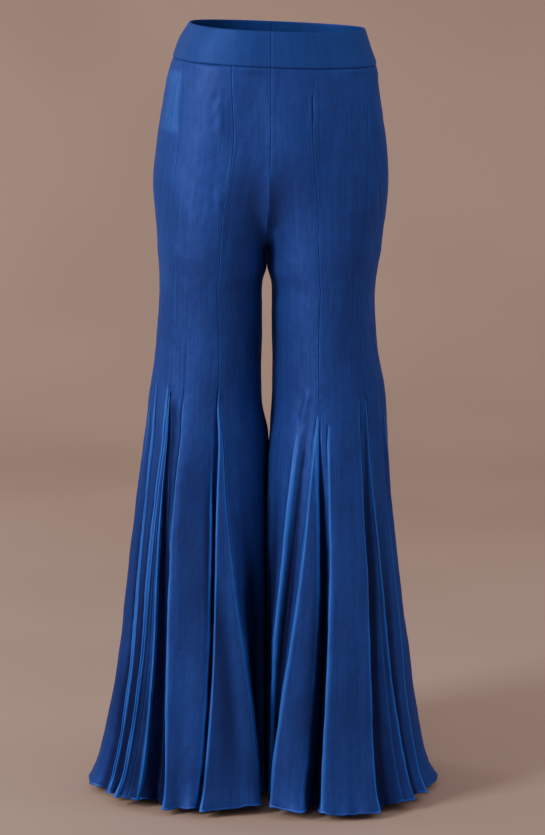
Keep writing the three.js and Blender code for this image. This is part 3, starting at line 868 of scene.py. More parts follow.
@dataclass
class ClothPiece:
    """One sewn piece: a closed wall of cloth between an outer and an inner face of equal grids."""

    name: str
    outer: Array
    inner: Array
    across: Array
    down: Array
    seam: Array
    # deep: how much painted shade; crest: how much painted highlight, and painted shade where it is negative
    deep: Array
    crest: Array
    outward_first: bool

    def mesh(self) -> bpy.types.Mesh:
        """Build the closed mesh, in metres, with its cut as a UV map, the distance to its seams, and its
        painted shade (deep) and painted highlight (crest).
        """
        rows, columns = self.outer.shape[:2]
        index = np.arange(rows * columns * 2).reshape(2, rows, columns)
        front, back = index
        quads = [
            self.quads(front[:-1, :-1], front[:-1, 1:], front[1:, 1:], front[1:, :-1]),
            self.quads(back[:-1, :-1], back[1:, :-1], back[1:, 1:], back[:-1, 1:]),
            self.quads(front[:-1, 0], front[1:, 0], back[1:, 0], back[:-1, 0]),
            self.quads(front[:-1, -1], back[:-1, -1], back[1:, -1], front[1:, -1]),
            self.quads(front[0, :-1], back[0, :-1], back[0, 1:], front[0, 1:]),
            self.quads(front[-1, :-1], front[-1, 1:], back[-1, 1:], back[-1, :-1]),
        ]
        faces = np.concatenate(quads)
        if not self.outward_first:
            faces = faces[:, ::-1]
        points = np.concatenate([self.outer.reshape(-1, 3), self.inner.reshape(-1, 3)]) * MM
        mesh = bpy.data.meshes.new(self.name)
        mesh.from_pydata(points.tolist(), [], faces.tolist())
        cut = mesh.uv_layers.new(name="cut")
        plan = np.stack([np.tile(self.across.ravel(), 2), np.tile(self.down.ravel(), 2)], axis=1) * MM
        cut.data.foreach_set("uv", plan[faces.ravel()].ravel())
        for name, values in (("seam", self.seam * MM), ("deep", self.deep), ("crest", self.crest)):
            mesh.attributes.new(name, "FLOAT", "POINT").data.foreach_set("value", np.tile(values.ravel(), 2))
        mesh.shade_smooth()
        return mesh

    @staticmethod
    def quads(*corners: Array) -> Array:
        """Stack four grids of corners into a list of faces."""
        return np.stack([corner.ravel() for corner in corners], axis=1)

    def area(self) -> float:
        """Measure the outer face in square metres."""
        p = self.outer * MM
        a, b = p[1:, 1:] - p[:-1, :-1], p[1:, :-1] - p[:-1, 1:]
        return float(np.linalg.norm(np.cross(a, b), axis=-1).sum() / 2)


def arc_lengths(points: Array) -> Array:
    """Measure along each row of points from its first one."""
    steps = np.linalg.norm(np.diff(points, axis=1), axis=-1)
    return np.concatenate([np.zeros((points.shape[0], 1)), np.cumsum(steps, axis=1)], axis=1)


def unit(vectors: Array) -> Array:
    """Scale vectors to length one."""
    return vectors / np.maximum(np.linalg.norm(vectors, axis=-1, keepdims=True), 1e-12)


FOLD_REACH = 26.0
FOLD_REACH_LEAST = 0.3
FOLD_SHALLOW = 4.5
FOLD_DEEP = 9.5
FOLD_BEND = 0.14


# The depth and crease measured here become painted shade in the folds and painted highlight on the ridges.
def fold_depth(ring: Array, grown: Array, places: int = 900) -> tuple[Array, Array]:
    """Measure how deep each point of the flare lies in its folds, and how sharply it is creased.

    Args:
        ring: rows of points all round.
        grown: how far the folds have grown on each row, from 0 to 1.
        places: how many even places each row is measured at.

    Returns:
        The depth under the folds round it, from 0 to 1, and the crease, from -1 in a valley to 1 on a ridge.
    """
    deep, crest = np.zeros(ring.shape[:2]), np.zeros(ring.shape[:2])
    arcs = arc_lengths(ring[..., :2])
    for r, (row, arc) in enumerate(zip(ring, arcs)):
        even = np.arange(places) / places * arc[-1]
        step = arc[-1] / places
        x, y = (np.interp(even, arc, row[:, axis]) for axis in (0, 1))
        radius = np.hypot(x - x.mean(), y - y.mean())
        reach = max(1, round(FOLD_REACH * mix(FOLD_REACH_LEAST, 1.0, grown[r]) / step))
        around = np.stack([np.roll(radius, shift) for shift in range(-reach, reach + 1)])
        under = np.clip((around.max(axis=0) - radius - FOLD_SHALLOW) / FOLD_DEEP, 0, 1)
        turn = np.unwrap(np.arctan2(np.roll(y, -2) - y, np.roll(x, -2) - x)) - np.unwrap(
            np.arctan2(y - np.roll(y, 2), x - np.roll(x, 2))
        )
        turn = (turn + np.pi) % (2 * np.pi) - np.pi
        bend = np.sign(turn.sum()) * turn / (2 * step)
        blur = np.exp(-(np.arange(-3, 4) ** 2) / 4.0)
        bend, under = (
            np.convolve(np.concatenate([v[-3:], v, v[:3]]), blur / blur.sum(), "valid") for v in (bend, under)
        )
        deep[r] = np.interp(arc, even, under, period=arc[-1]) * grown[r]
        crest[r] = np.interp(arc, even, np.clip(bend / FOLD_BEND, -1, 1), period=arc[-1]) * grown[r]
    return deep, crest


@dataclass(frozen=True)
class Lips:
    """How the cloth laps over itself along the fold lines that have a lip. Sizes in millimetres.

    start and grow are how far under the godets' top a lip begins and how far it takes to stand full.
    half_step turns a lip's step into the rise of each of its sides. shine lies along the edge of the side
    that laps over, shade beside it on the side under it. sheen is a softer light on the side over it,
    where that is the cloth after the line. tone_start and tone_grow do for the colour what start and grow
    do for the shape.
    """

    edge: float = 0.8
    width: float = 13.0
    start: float = 2.0
    grow: float = 50.0
    half_step: float = 2.0
    shine: float = 1.1
    shine_from: float = 1.0
    shine_width: float = 1.0
    sheen: float = 0.3
    sheen_from: float = 5.0
    sheen_width: float = 5.5
    shade: float = 0.8
    shade_width: float = 1.4
    shade_spread: float = 260.0
    full_tone: float = 3.0
    most_tone: float = 1.3
    tone_start: float = -16.0
    tone_grow: float = 14.0

    def rise(self, fold: FoldLine, fallen: Array, past: Array) -> Array:
        """Give how far one lip lifts the cloth.

        Args:
            fold: the fold line that it runs on.
            fallen: distance below the godets' top.
            past: distance past the fold line.

        Returns:
            The rise, in millimetres.
        """
        grown = smooth((fallen - self.start - fold.late) / self.grow) * fold.lip / self.half_step
        return -(grown * np.tanh(past / self.edge) * np.exp(-((past / self.width) ** 2)))

    def tones(self, fold: FoldLine, fallen: Array, past: Array) -> tuple[Array, Array]:
        """Give how much one lip shines along its edge, and how dark the cloth is under it.

        Args:
            fold: the fold line that it runs on.
            fallen: distance below the godets' top.
            past: distance past the fold line.

        Returns:
            The shine and the shade.
        """
        under = past * np.sign(fold.lip)
        spread = self.shade_width + np.maximum(fallen, 0) / self.shade_spread
        full = min(abs(fold.lip) / self.full_tone, self.most_tone)
        strength = full * smooth((fallen - self.tone_start - fold.late) / self.tone_grow)
        shine = self.shine * strength * np.exp(-(((under + self.shine_from) / self.shine_width) ** 2))
        if fold.lip < 0:
            sheen = np.exp(-(((under + self.sheen_from) / self.sheen_width) ** 2))
            shine = shine + self.sheen * strength * sheen
        return shine, self.shade * strength * np.exp(-(((under - spread) / spread) ** 2))


@dataclass(frozen=True)
class Wave:
    """A wave round the leg: how many times it repeats, its share, where it starts and how it leans."""

    count: int
    share: float
    start: float
    lean: float = math.inf

    def at(self, turn: Array, above_hem: Array) -> Array:
        """Give the wave at some angles round the leg and heights over the hem."""
        return self.share * np.sin(self.count * turn + self.start + above_hem / self.lean)


@dataclass(frozen=True)
class HemFall:
    """How the hem kicks out, ripples and lifts. Sizes in millimetres, ripples as waves round the leg."""

    kick: float = 3.6
    tuck: float = 2.8
    kick_from: float = 60.0
    ripple: float = 1.6
    ripple_fades: float = 16.0
    lift: float = 3.2
    lift_fades: float = 30.0
    shine: float = 0.5
    shine_at: float = 1.8
    shine_width: float = 1.3
    ripples: tuple[Wave, ...] = (Wave(29, 1.0, 0.0, 30), Wave(47, 0.7, 1.3, -22))
    waves: tuple[Wave, ...] = (Wave(19, 1.0, 0.4), Wave(43, 0.8, 2.0), Wave(71, 0.5, 0.0))

    def rise(self, turn: Array, above_hem: Array) -> tuple[Array, Array]:
        """Give how far the cloth kicks out over the hem, and how far its ripples add to that."""
        ripple = sum(wave.at(turn, above_hem) for wave in self.ripples)
        low = np.clip(1 - above_hem / self.kick_from, 0, 1)
        kick = self.kick * low**2 - self.tuck * low
        return kick, self.ripple * ripple * np.exp(-above_hem / self.ripple_fades)

    def lifted(self, turn: Array, above_hem: Array) -> Array:
        """Give how far the cloth is lifted by the hem's waves."""
        wave = sum(wave.at(turn, above_hem) for wave in self.waves)
        most = sum(wave.share for wave in self.waves)
        return self.lift * (0.5 + wave / (2 * most)) * np.exp(-above_hem / self.lift_fades)

    def shining(self, above_hem: Array) -> Array:
        """Give the light along the rolled hem."""
        return self.shine * np.exp(-(((above_hem - self.shine_at) / self.shine_width) ** 2))


LIPS = Lips()
HEM_FALL = HemFall()
GRAIN_ANCHORS = {"front_inner_panel": 1.0, "back_inner_panel": 0.0}


@dataclass
class LegCloth:
    """The cloth of one leg from the waistband seam to the hem, worked out once and cut into its pieces."""

    cut: LegCut
    relief: ClothRelief
    pitch: float = 4.6
    steps: int = 10
    godet_rise: float = 6.5
    shut_width: float = 8.0
    shade_over: float = 4.0
    shade_grow: float = 30.0
    worked_from: float = 14.0
    half_turn: float = 0.3
    half_shift: float = 0.06
    upper_from: float = -56.5
    hem_from: float = 10.5
    seam_rows: tuple[float, ...] = (-47.4, -48.6, -49.8, -51.4, -53.5)
    hem_rows: tuple[float, ...] = (8.0, 6.0, 4.6, 3.8, 3.0, 2.3, 1.5, 0.8, 0.3, 0.0)
    seam_columns: tuple[float, ...] = (0, 0.015, 0.035, 0.06)
    lip_columns: tuple[float, ...] = (0.025, 0.05, 0.115)
    heights: Array = field(init=False)
    ring: Array = field(init=False)
    deep: Array = field(init=False)
    crest: Array = field(init=False)
    arcs: Array = field(init=False)

    def __post_init__(self) -> None:
        """Work out the rows of the cloth and the flare's folds."""
        top = self.cut.godet_top
        start, end = self.upper_from, HEM + self.hem_from
        upper = np.linspace(start, top + 6, round((start - top - 6) / self.pitch))
        lower = np.linspace(top, end, round((top - end) / self.pitch))
        hem = HEM + np.array(self.hem_rows)
        self.heights = np.concatenate([self.seam_rows, upper, [top + 3], lower, hem])
        flared = self.heights[self.heights <= top]
        self.ring = self.cut.flare(self.steps, flared)
        self.arcs = arc_lengths(self.ring[..., :2])
        self.deep, self.crest = fold_depth(self.ring, smooth((top - flared) / self.shade_grow))

    def on_ring(self, lines: Array) -> Array:
        """Read the flare at any line numbers, smoothly between its columns."""
        ring = self.ring[:, :-1]
        count = ring.shape[1]
        u = lines * self.steps
        k = np.floor(u).astype(int)
        t = (u - k)[None, :, None]
        p0, p1, p2, p3 = (ring[:, (k + shift) % count] for shift in (-1, 0, 1, 2))
        return cubic(p1, p2, (p2 - p0) / 2, (p3 - p1) / 2, t)

    def lips(self, lines: Array) -> Iterator[tuple[FoldLine, Array]]:
        """Give each lip near some line numbers, and how far past it the cloth lies there on all rows."""
        at = np.arange(self.arcs.shape[1]) / self.steps
        here = np.array([np.interp(lines, at, row) for row in self.arcs])
        above = len(self.heights) - len(here)
        for line, fold in enumerate(self.cut.folds):
            if fold.lip and lines[0] - 3 <= line <= lines[-1] + 3:
                past = here - self.arcs[:, line * self.steps, None]
                yield fold, np.concatenate([np.repeat(past[:1], above, axis=0), past])

    def draped(self, lines: Array) -> Array:
        """Give how far the cloth stands out at the flare's lips, and how its hem kicks out in ripples.

        Args:
            lines: the line numbers of the columns.

        Returns:
            The rise on all rows, in millimetres.
        """
        rise = np.zeros((len(self.heights), len(lines)))
        fallen = (self.cut.godet_top - self.heights)[:, None]
        for fold, past in self.lips(lines):
            rise += LIPS.rise(fold, fallen, past)
        kick, ripple = HEM_FALL.rise(self.turn(lines), self.heights[:, None] - HEM)
        return rise + kick + ripple

    def turn(self, lines: Array) -> Array:
        """Give how far round the leg some line numbers are, as an angle."""
        return 2 * np.pi * lines[None] / (self.cut.line_count - 1)

    def folds(self, lines: Array) -> tuple[Array, Array]:
        """Read how much painted shade and painted highlight the cloth gets: its depth in the folds and its
        crease, with the fold lines' painted shade and the lips' painted shine and shade added.

        Args:
            lines: the line numbers of the columns.

        Returns:
            The painted shade and the painted highlight, negative for painted shade in valleys, on all rows.
        """
        above = np.zeros((int((self.heights > self.cut.godet_top).sum()), len(lines)))
        at = np.arange(self.deep.shape[1]) / self.steps
        deep, crest = (
            np.concatenate([above, [np.interp(lines, at, row) for row in measure]])
            for measure in (self.deep, self.crest)
        )
        fallen = (self.cut.godet_top - self.heights)[:, None]
        shaded = np.interp(lines, np.arange(self.cut.line_count), self.cut.values("shade"))
        # painted shade along the fold lines that carry one
        deep = deep + shaded * smooth((fallen + self.shade_over) / self.shade_grow)
        for fold, past in self.lips(lines):
            # the lips' painted highlight along their edges and painted shade under them
            shine, shade = LIPS.tones(fold, fallen, past)
            crest, deep = crest + shine, deep + shade
        return np.clip(deep, 0, 1), np.clip(crest, -1, 1)

    def base(self, lines: Array) -> tuple[Array, Array]:
        """Give the folded cloth without relief at some line numbers.

        Args:
            lines: the line numbers of the columns.

        Returns:
            The points of all rows, and the way along the rows at each.
        """
        above = self.heights > self.cut.godet_top
        level = self.heights[above]
        direction = self.cut.closed_direction(lines, level)
        tube = self.cut.tube(direction, level)
        turn, shift = self.half_turn, self.half_shift
        tube_way = self.cut.tube(direction + turn, level) - self.cut.tube(direction - turn, level)
        flare_way = self.on_ring(lines + shift) - self.on_ring(lines - shift)
        return (
            np.concatenate([tube, self.on_ring(lines)]),
            np.concatenate([unit(tube_way), unit(flare_way)]),
        )

    def columns(self, first: int, last: int) -> Array:
        """List the line numbers of a piece's columns, close together at its two seams."""
        inner = np.arange(first * self.steps + 1, last * self.steps) / self.steps
        near = np.array(self.seam_columns)
        lips = [line for line in range(first, last + 1) if self.cut.folds[line].lip]
        by_lips = [line + side * shift for line in lips for side in (-1, 1) for shift in self.lip_columns]
        clear = near[-1] + 0.01
        inside = [line for line in by_lips if first + clear < line < last - clear]
        return np.sort(np.concatenate([first + near, inner, inside, last - near]))

    def piece(self, name: str, first: int, last: int) -> ClothPiece:
        """Cut one piece.

        Args:
            name: the piece's name.
            first: the fold line of its first seam.
            last: the fold line of its last seam.

        Returns:
            The piece, with its edges turned in at the seams and its hem rolled.
        """
        sign = self.cut.side.sign
        lines = self.columns(first, last)
        points, way = self.base(lines)
        fall = np.gradient(points, axis=0)
        normals = unit(np.cross(way, fall)) * -sign
        deep, crest = self.folds(lines)
        # a painted highlight along the rolled hem
        crest = crest + HEM_FALL.shining(self.heights[:, None] - HEM)
        first_row = self.cut.godet_top + self.godet_rise if name.endswith("godet") else 0
        rows = self.heights <= first_row
        points, way, normals, heights = points[rows], way[rows], normals[rows], self.heights[rows]
        arcs = arc_lengths(points)
        closed = 1 - smooth(arcs[:, -1:] / self.shut_width)
        seam = np.minimum(arcs, arcs[:, -1:] - arcs) + self.shut_width / 2 * closed
        level = heights[:, None]
        worked = smooth((-level - BAND_HEIGHT) / self.worked_from)
        rise = self.relief.at(points, normals) * worked + self.draped(lines)[rows]
        tucked = SATIN.band_tuck(-level - BAND_HEIGHT)
        hem = SATIN.hem_rise(level - HEM)
        dip = SATIN.seam_dip(seam)
        outer = points + normals * (rise - dip - tucked + hem)[..., None]
        below = rise - SATIN.thickness - np.minimum(dip, SATIN.inner_roll) - tucked - hem
        inner = points + normals * below[..., None]
        share = np.zeros(len(lines))
        share[0], share[-1] = 1, -1
        shift = way * (SATIN.gap / 2 * share)[None, :, None]
        shift[..., 2] += HEM_FALL.lifted(self.turn(lines), level - HEM)
        outer, inner = (self.clear_of_middle(face + shift, level) for face in (outer, inner))
        above_hem = np.broadcast_to(level - HEM, arcs.shape)
        return ClothPiece(
            name,
            outer,
            inner,
            arcs - arcs[:, -1:] * GRAIN_ANCHORS.get(name, 0.5),
            above_hem,
            seam,
            # painted shade of the folds, lips and shade patches; then painted highlight of the folds, lips,
            # hem and glints
            np.minimum(deep[rows] + self.relief.dullness_and_shade(points), 1.0),
            np.clip(crest[rows] + self.relief.shine(points), -1, 1),
            sign < 0,
        )

    def clear_of_middle(self, points: Array, level: Array) -> Array:
        """Hold the cloth on its own side of the surface between the legs."""
        sign = self.cut.side.sign
        middle = POSE.middle(level, points[..., 1])
        out = np.maximum(sign * (points[..., 0] - middle) - SATIN.closing(level), SATIN.middle_gap)
        return np.concatenate([(sign * out + middle)[..., None], points[..., 1:]], axis=-1)

    def pieces(self) -> list[ClothPiece]:
        """Cut the whole leg."""
        starts = self.cut.starts
        ends = [line for _, line in starts[1:]] + [self.cut.line_count - 1]
        return [self.piece(name, first, last) for (name, first), last in zip(starts, ends)]


@dataclass(frozen=True)
class Waistband:
    """The doubled band that the panels hang from. Sizes in millimetres."""

    thickness: float = 2.6
    proud: float = 0.9
    steps: int = 56
    seam_roll: float = 0.45
    seam_width: float = 1.0
    grain_shift: float = 200.0
    edge_depth: float = 4.5
    edge_inner: float = 0.6
    seam_columns: tuple[float, ...] = (0.3, 0.7, 1.2)
    half_turn: float = 0.4
    body_rows: int = 13
    spans: tuple[tuple[str, float, float], ...] = (("front_waistband", 0, 90), ("back_waistband", 90, 180))
    profile: tuple[tuple[float, float], ...] = (
        (0.0, -1.5),
        (-0.25, -0.7),
        (-0.9, -0.2),
        (-2.2, 0.0),
    )
    relief: ClothRelief = ClothRelief(
        creases=(),
        crumples=(Crumple(0.22, (70.0, 70.0, 40.0), 21), Crumple(0.07, (18, 18, 14), 5)),
    )

    def rows(self) -> tuple[Array, Array]:
        """Give the heights of the band's rows and how far each is turned in."""
        top = np.array(self.profile)
        bottom = np.stack([-BAND_HEIGHT - top[::-1, 0], top[::-1, 1]], axis=1)
        body = np.linspace(-self.edge_depth, self.edge_depth - BAND_HEIGHT, self.body_rows)
        heights = np.concatenate([top[:, 0], body, bottom[:, 0]])
        turned = np.concatenate([top[:, 1], np.zeros(len(body)), bottom[:, 1]])
        return heights, turned

    def face(self, cut: LegCut, direction: Array, height: Array) -> tuple[Array, Array]:
        """Give the points of the hips under the band, and the way along its rows."""
        level = height[:, None]
        hips = hip_oval(cut.side, level)
        points, after, before = (
            cut.placed(*hips.point(direction[None] + turn, 1.0), level)
            for turn in (0, self.half_turn, -self.half_turn)
        )
        return points, unit(after - before)

    def piece(self, cut: LegCut, name: str, start: float, end: float) -> ClothPiece:
        """Cut one quarter of the band.

        Args:
            cut: the leg whose side it is on.
            name: the piece's name.
            start: direction of its first end, in degrees from the centre front.
            end: direction of its last end.

        Returns:
            The piece.
        """
        sign = cut.side.sign
        heights, turned = self.rows()
        direction = np.linspace(start, end, self.steps + 1)
        near = np.array(self.seam_columns)
        direction = np.sort(np.concatenate([direction, start + near, end - near]))
        points, way = self.face(cut, direction, heights)
        normals = np.stack([way[..., 1], -way[..., 0], np.zeros(way.shape[:2])], axis=-1) * -sign
        normals = unit(normals) * np.sign((normals * points).sum(axis=-1, keepdims=True))
        arcs = arc_lengths(points)
        seam = np.minimum(arcs, arcs[:, -1:] - arcs)
        rise = self.relief.at(points, normals)
        dip = self.seam_roll * np.exp(-((seam / self.seam_width) ** 2))
        outer = points + normals * (self.proud + rise + turned[:, None] - dip)[..., None]
        turned_in = self.edge_inner * turned[:, None]
        inner = points + normals * (self.proud - self.thickness + rise - turned_in)[..., None]
        level = np.broadcast_to(heights[:, None], arcs.shape)
        none = np.zeros_like(arcs)
        across = arcs - arcs[:, -1:] / 2
        return ClothPiece(name, outer, inner, across, level + self.grain_shift, seam, none, none, sign < 0)


# ---------------------------------------------------------------------------------------------- finish


@dataclass(frozen=True)
class Grain:
    """A noise: its waves a metre along each axis, its detail and how rough that is."""

    waves: tuple[float, float, float]
    detail: float = 1.0
    roughness: float = 0.5


class NodeGraph:
    """A short way to build shader nodes: each call makes one node and returns its main output."""

    def __init__(self, tree: bpy.types.NodeTree) -> None:
        """Work in a node tree."""
        self.tree = tree

    def node(self, kind: str, **settings: object) -> bpy.types.Node:
        """Add a node and set its properties."""
        node = self.tree.nodes.new(kind)
        for name, value in settings.items():
            setattr(node, name, value)
        return node

    def feed(self, socket: bpy.types.NodeSocket, value: object) -> None:
        """Link an output to a socket, or set the socket's value."""
        if isinstance(value, bpy.types.NodeSocket):
            self.tree.links.new(value, socket)
        else:
            socket.default_value = value

    def math(self, operation: str, *values: object) -> bpy.types.NodeSocket:
        """Combine numbers."""
        node = self.node("ShaderNodeMath", operation=operation)
        for socket, value in zip(node.inputs, values):
            self.feed(socket, value)
        return node.outputs[0]

    def ramp(
        self, value: object, low: float, high: float, to_low: float = 0.0, to_high: float = 1.0
    ) -> bpy.types.NodeSocket:
        """Map a range of numbers to another, smoothly and clamped."""
        node = self.node("ShaderNodeMapRange", interpolation_type="SMOOTHSTEP", clamp=True)
        names = ("Value", "From Min", "From Max", "To Min", "To Max")
        for name, given in zip(names, (value, low, high, to_low, to_high)):
            self.feed(node.inputs[name], given)
        return node.outputs["Result"]

    def times(self, *values: object) -> bpy.types.NodeSocket:
        """Multiply two numbers."""
        return self.math("MULTIPLY", *values)

    def plus(self, *values: object) -> bpy.types.NodeSocket:
        """Add two numbers."""
        return self.math("ADD", *values)

    def about(self, noise: object, share: float) -> bpy.types.NodeSocket:
        """Centre a noise on zero and scale it."""
        return self.times(self.math("SUBTRACT", noise, 0.5), share)

    def noise(self, place: object, grain: Grain) -> bpy.types.NodeSocket:
        """Make smooth noise from 0 to 1."""
        mapping = self.node("ShaderNodeMapping")
        self.feed(mapping.inputs["Vector"], place)
        mapping.inputs["Scale"].default_value = grain.waves
        node = self.node("ShaderNodeTexNoise")
        self.feed(node.inputs["Vector"], mapping.outputs["Vector"])
        for name, value in (("Scale", 1.0), ("Detail", grain.detail), ("Roughness", grain.roughness)):
            node.inputs[name].default_value = value
        return node.outputs["Fac"]

    def attribute(self, name: str) -> bpy.types.NodeSocket:
        """Read a number that the mesh carries."""
        return self.node("ShaderNodeAttribute", attribute_name=name).outputs["Fac"]

    def blend(self, share: object, first: object, second: object) -> bpy.types.NodeSocket:
        """Mix two colours."""
        node = self.node("ShaderNodeMix", data_type="RGBA")
        for socket, value in ((node.inputs[0], share), (node.inputs[6], first), (node.inputs[7], second)):
            self.feed(socket, value)
        return node.outputs[2]


@dataclass(frozen=True)
class SatinFace:
    """The face of the satin: slubs down the cloth, soft mottling, small crumples, seams and stitches, and the
    painted shade and painted highlight of its folds and seams.

    Two numbers are the range that a value is read over, seam distances in metres. Two more are what it
    becomes at either end. The tone picks between the plain and the thin colour, the painted shade and
    highlight of the folds are as uneven as the cloth is mottled, and the heights are in millimetres.
    """

    slub: Grain = Grain((560, 9, 1), 3.0, 0.6)
    streak: Grain = Grain((150, 4, 1), 2.0)
    weft: Grain = Grain((60, 900, 1))
    mottle: Grain = Grain((20, 20, 11), 3.0, 0.55)
    crumple: Grain = Grain((70, 70, 60), 3.0, 0.55)
    fine: Grain = Grain((230, 230, 190), 3.0, 0.65)
    patch: Grain = Grain((12, 12, 10))
    pucker: Grain = Grain((60, 165, 1))
    slub_tone: float = 0.72
    streak_tone: float = 0.28
    mottle_tone: float = 0.6
    fine_tone: float = 0.35
    tones: tuple[float, ...] = (0.3, 0.72)
    fold_mottle: float = 0.7
    painted_fold_shade: tuple[float, ...] = (0.05, 1.0, 0.0, 0.92)
    painted_valley_shade: tuple[float, ...] = (-0.9, -0.1, 0.7, 0.0)
    painted_ridge_highlight: tuple[float, ...] = (0.3, 1.0, 0.0, 0.8)
    beside_seam: tuple[float, ...] = (0.0005, 0.001)
    painted_seam_highlight: tuple[float, ...] = (0.0014, 0.0024, 0.18, 0.0)
    painted_seam_shade: tuple[float, ...] = (0.0003, 0.0009, 0.6, 0.0)
    slub_roughness: float = 0.16
    mottle_roughness: float = 0.12
    slub_height: float = 0.06
    weft_height: float = 0.012
    crumple_height: float = -0.85
    fine_height: float = 0.24
    crumpled_patches: tuple[float, ...] = (0.38, 0.66, 0.0, 0.75)
    crumpled_least: float = 0.25
    puckered: tuple[float, ...] = (0.0006, 0.009, 1.0, 0.0)
    pucker_height: float = 0.28

    def group(self) -> bpy.types.NodeTree:
        """Make the node group, with the finish as its inputs."""
        group = bpy.data.node_groups.new("satin_face", "ShaderNodeTree")
        colours = ("Colour", "Thin Colour", "Painted Shade Colour", "Painted Highlight Colour")
        inputs = [(name, "Color") for name in colours]
        inputs += [(name, "Float") for name in ("Roughness", "Slub", "Crumple")]
        for name, kind in inputs:
            group.interface.new_socket(name, in_out="INPUT", socket_type=f"NodeSocket{kind}")
        for name, kind in (("Colour", "Color"), ("Roughness", "Float"), ("Height", "Float")):
            group.interface.new_socket(name, in_out="OUTPUT", socket_type=f"NodeSocket{kind}")
        graph = NodeGraph(group)
        given, made = graph.node("NodeGroupInput"), graph.node("NodeGroupOutput")
        cut = graph.node("ShaderNodeUVMap", uv_map="cut").outputs[0]
        place = graph.node("ShaderNodeTexCoord").outputs["Object"]
        slub, mottle = graph.noise(cut, self.slub), graph.noise(place, self.mottle)
        fine, seam = graph.noise(place, self.fine), graph.attribute("seam")

        tone = graph.times(graph.noise(cut, self.streak), self.streak_tone)
        tone = graph.plus(graph.times(slub, self.slub_tone), tone)
        tone = graph.plus(tone, graph.about(mottle, self.mottle_tone))
        tone = graph.plus(tone, graph.about(fine, self.fine_tone))
        plain, thin, dark, bright = (given.outputs[name] for name in colours)
        colour = graph.blend(graph.ramp(tone, *self.tones), plain, thin)
        # Painted light: deep folds and valleys are painted towards the shade colour and ridges towards the
        # highlight colour, varied with the mottle.
        uneven = graph.plus(graph.about(mottle, self.fold_mottle), 1.0)
        deep, crest = (graph.times(graph.attribute(name), uneven) for name in ("deep", "crest"))
        colour = graph.blend(graph.ramp(deep, *self.painted_fold_shade), colour, dark)
        colour = graph.blend(graph.ramp(crest, *self.painted_valley_shade), colour, dark)
        colour = graph.blend(graph.ramp(crest, *self.painted_ridge_highlight), colour, bright)
        # a painted highlight beside each seam, and painted shade in its groove
        beside = graph.times(graph.ramp(seam, *self.beside_seam), graph.ramp(seam, *self.painted_seam_highlight))
        colour = graph.blend(graph.times(beside, given.outputs["Slub"]), colour, bright)
        colour = graph.blend(graph.ramp(seam, *self.painted_seam_shade), colour, dark)
        graph.feed(made.inputs["Colour"], colour)

        dullness_and_shade = graph.plus(given.outputs["Roughness"], graph.about(slub, self.slub_roughness))
        dullness_and_shade = graph.plus(dullness_and_shade, graph.about(mottle, self.mottle_roughness))
        graph.feed(made.inputs["Roughness"], dullness_and_shade)

        height = graph.times(graph.times(slub, self.slub_height), given.outputs["Slub"])
        height = graph.plus(height, graph.times(graph.noise(cut, self.weft), self.weft_height))
        crumple = graph.math("ABSOLUTE", graph.about(graph.noise(place, self.crumple), 1.0))
        crumple = graph.times(crumple, self.crumple_height)
        crumple = graph.plus(crumple, graph.times(fine, self.fine_height))
        patch = graph.ramp(graph.noise(place, self.patch), *self.crumpled_patches)
        crumple = graph.times(crumple, graph.plus(patch, self.crumpled_least))
        height = graph.plus(height, graph.times(crumple, given.outputs["Crumple"]))
        pucker = graph.times(graph.noise(cut, self.pucker), graph.ramp(seam, *self.puckered))
        height = graph.plus(height, graph.times(pucker, self.pucker_height))
        graph.feed(made.inputs["Height"], height)
        return group


@dataclass(frozen=True)
class SatinFinish:
    """A satin finish, with the colours of its painted shade and painted highlight. Colours are linear,
    heights in millimetres.
    """

    name: str
    colour: tuple[float, float, float]
    thin_colour: tuple[float, float, float]
    roughness: float
    metallic: float
    slub: float
    crumple: float
    # painted shade: deep folds, valleys, lip undersides, shade patches and seam grooves are painted towards
    # this colour
    painted_shade_colour: tuple[float, float, float] = (0.01, 0.01, 0.06)
    # painted highlight: ridges, lip edges, the rolled hem, the hip glint and seam edges are painted towards
    # this colour
    painted_highlight_colour: tuple[float, float, float] = (0.045, 0.135, 0.62)
    gloss_tint: tuple[float, float, float] = (0.32, 0.5, 1.0)
    sheen_tint: tuple[float, float, float] = (0.12, 0.3, 1.0)
    specular: float = 0.15
    sheen: float = 0.05
    sheen_roughness: float = 0.45
    bump: float = 0.9

    def material(self, face: bpy.types.NodeTree) -> bpy.types.Material:
        """Make the material.

        Args:
            face: the node group of the satin's face.

        Returns:
            The material.
        """
        material = bpy.data.materials.new(self.name)
        material.use_nodes = True
        graph = NodeGraph(material.node_tree)
        shader = material.node_tree.nodes["Principled BSDF"]
        group = graph.node("ShaderNodeGroup")
        group.node_tree = face
        for name, value in (
            ("Colour", (*self.colour, 1)),
            ("Thin Colour", (*self.thin_colour, 1)),
            ("Painted Shade Colour", (*self.painted_shade_colour, 1)),
            ("Painted Highlight Colour", (*self.painted_highlight_colour, 1)),
            ("Roughness", self.roughness),
            ("Slub", self.slub),
            ("Crumple", self.crumple),
        ):
            group.inputs[name].default_value = value
        bump = graph.node("ShaderNodeBump")
        bump.inputs["Distance"].default_value = MM
        bump.inputs["Strength"].default_value = self.bump
        graph.feed(bump.inputs["Height"], group.outputs["Height"])
        graph.feed(shader.inputs["Base Color"], group.outputs["Colour"])
        graph.feed(shader.inputs["Roughness"], group.outputs["Roughness"])
        graph.feed(shader.inputs["Normal"], bump.outputs["Normal"])
        for name, value in (
            ("Metallic", self.metallic),
            ("Specular Tint", (*self.gloss_tint, 1.0)),
            ("Specular IOR Level", self.specular),
            ("Sheen Weight", self.sheen),
            ("Sheen Roughness", self.sheen_roughness),
            ("Sheen Tint", (*self.sheen_tint, 1.0)),
        ):
            shader.inputs[name].default_value = value
        return material


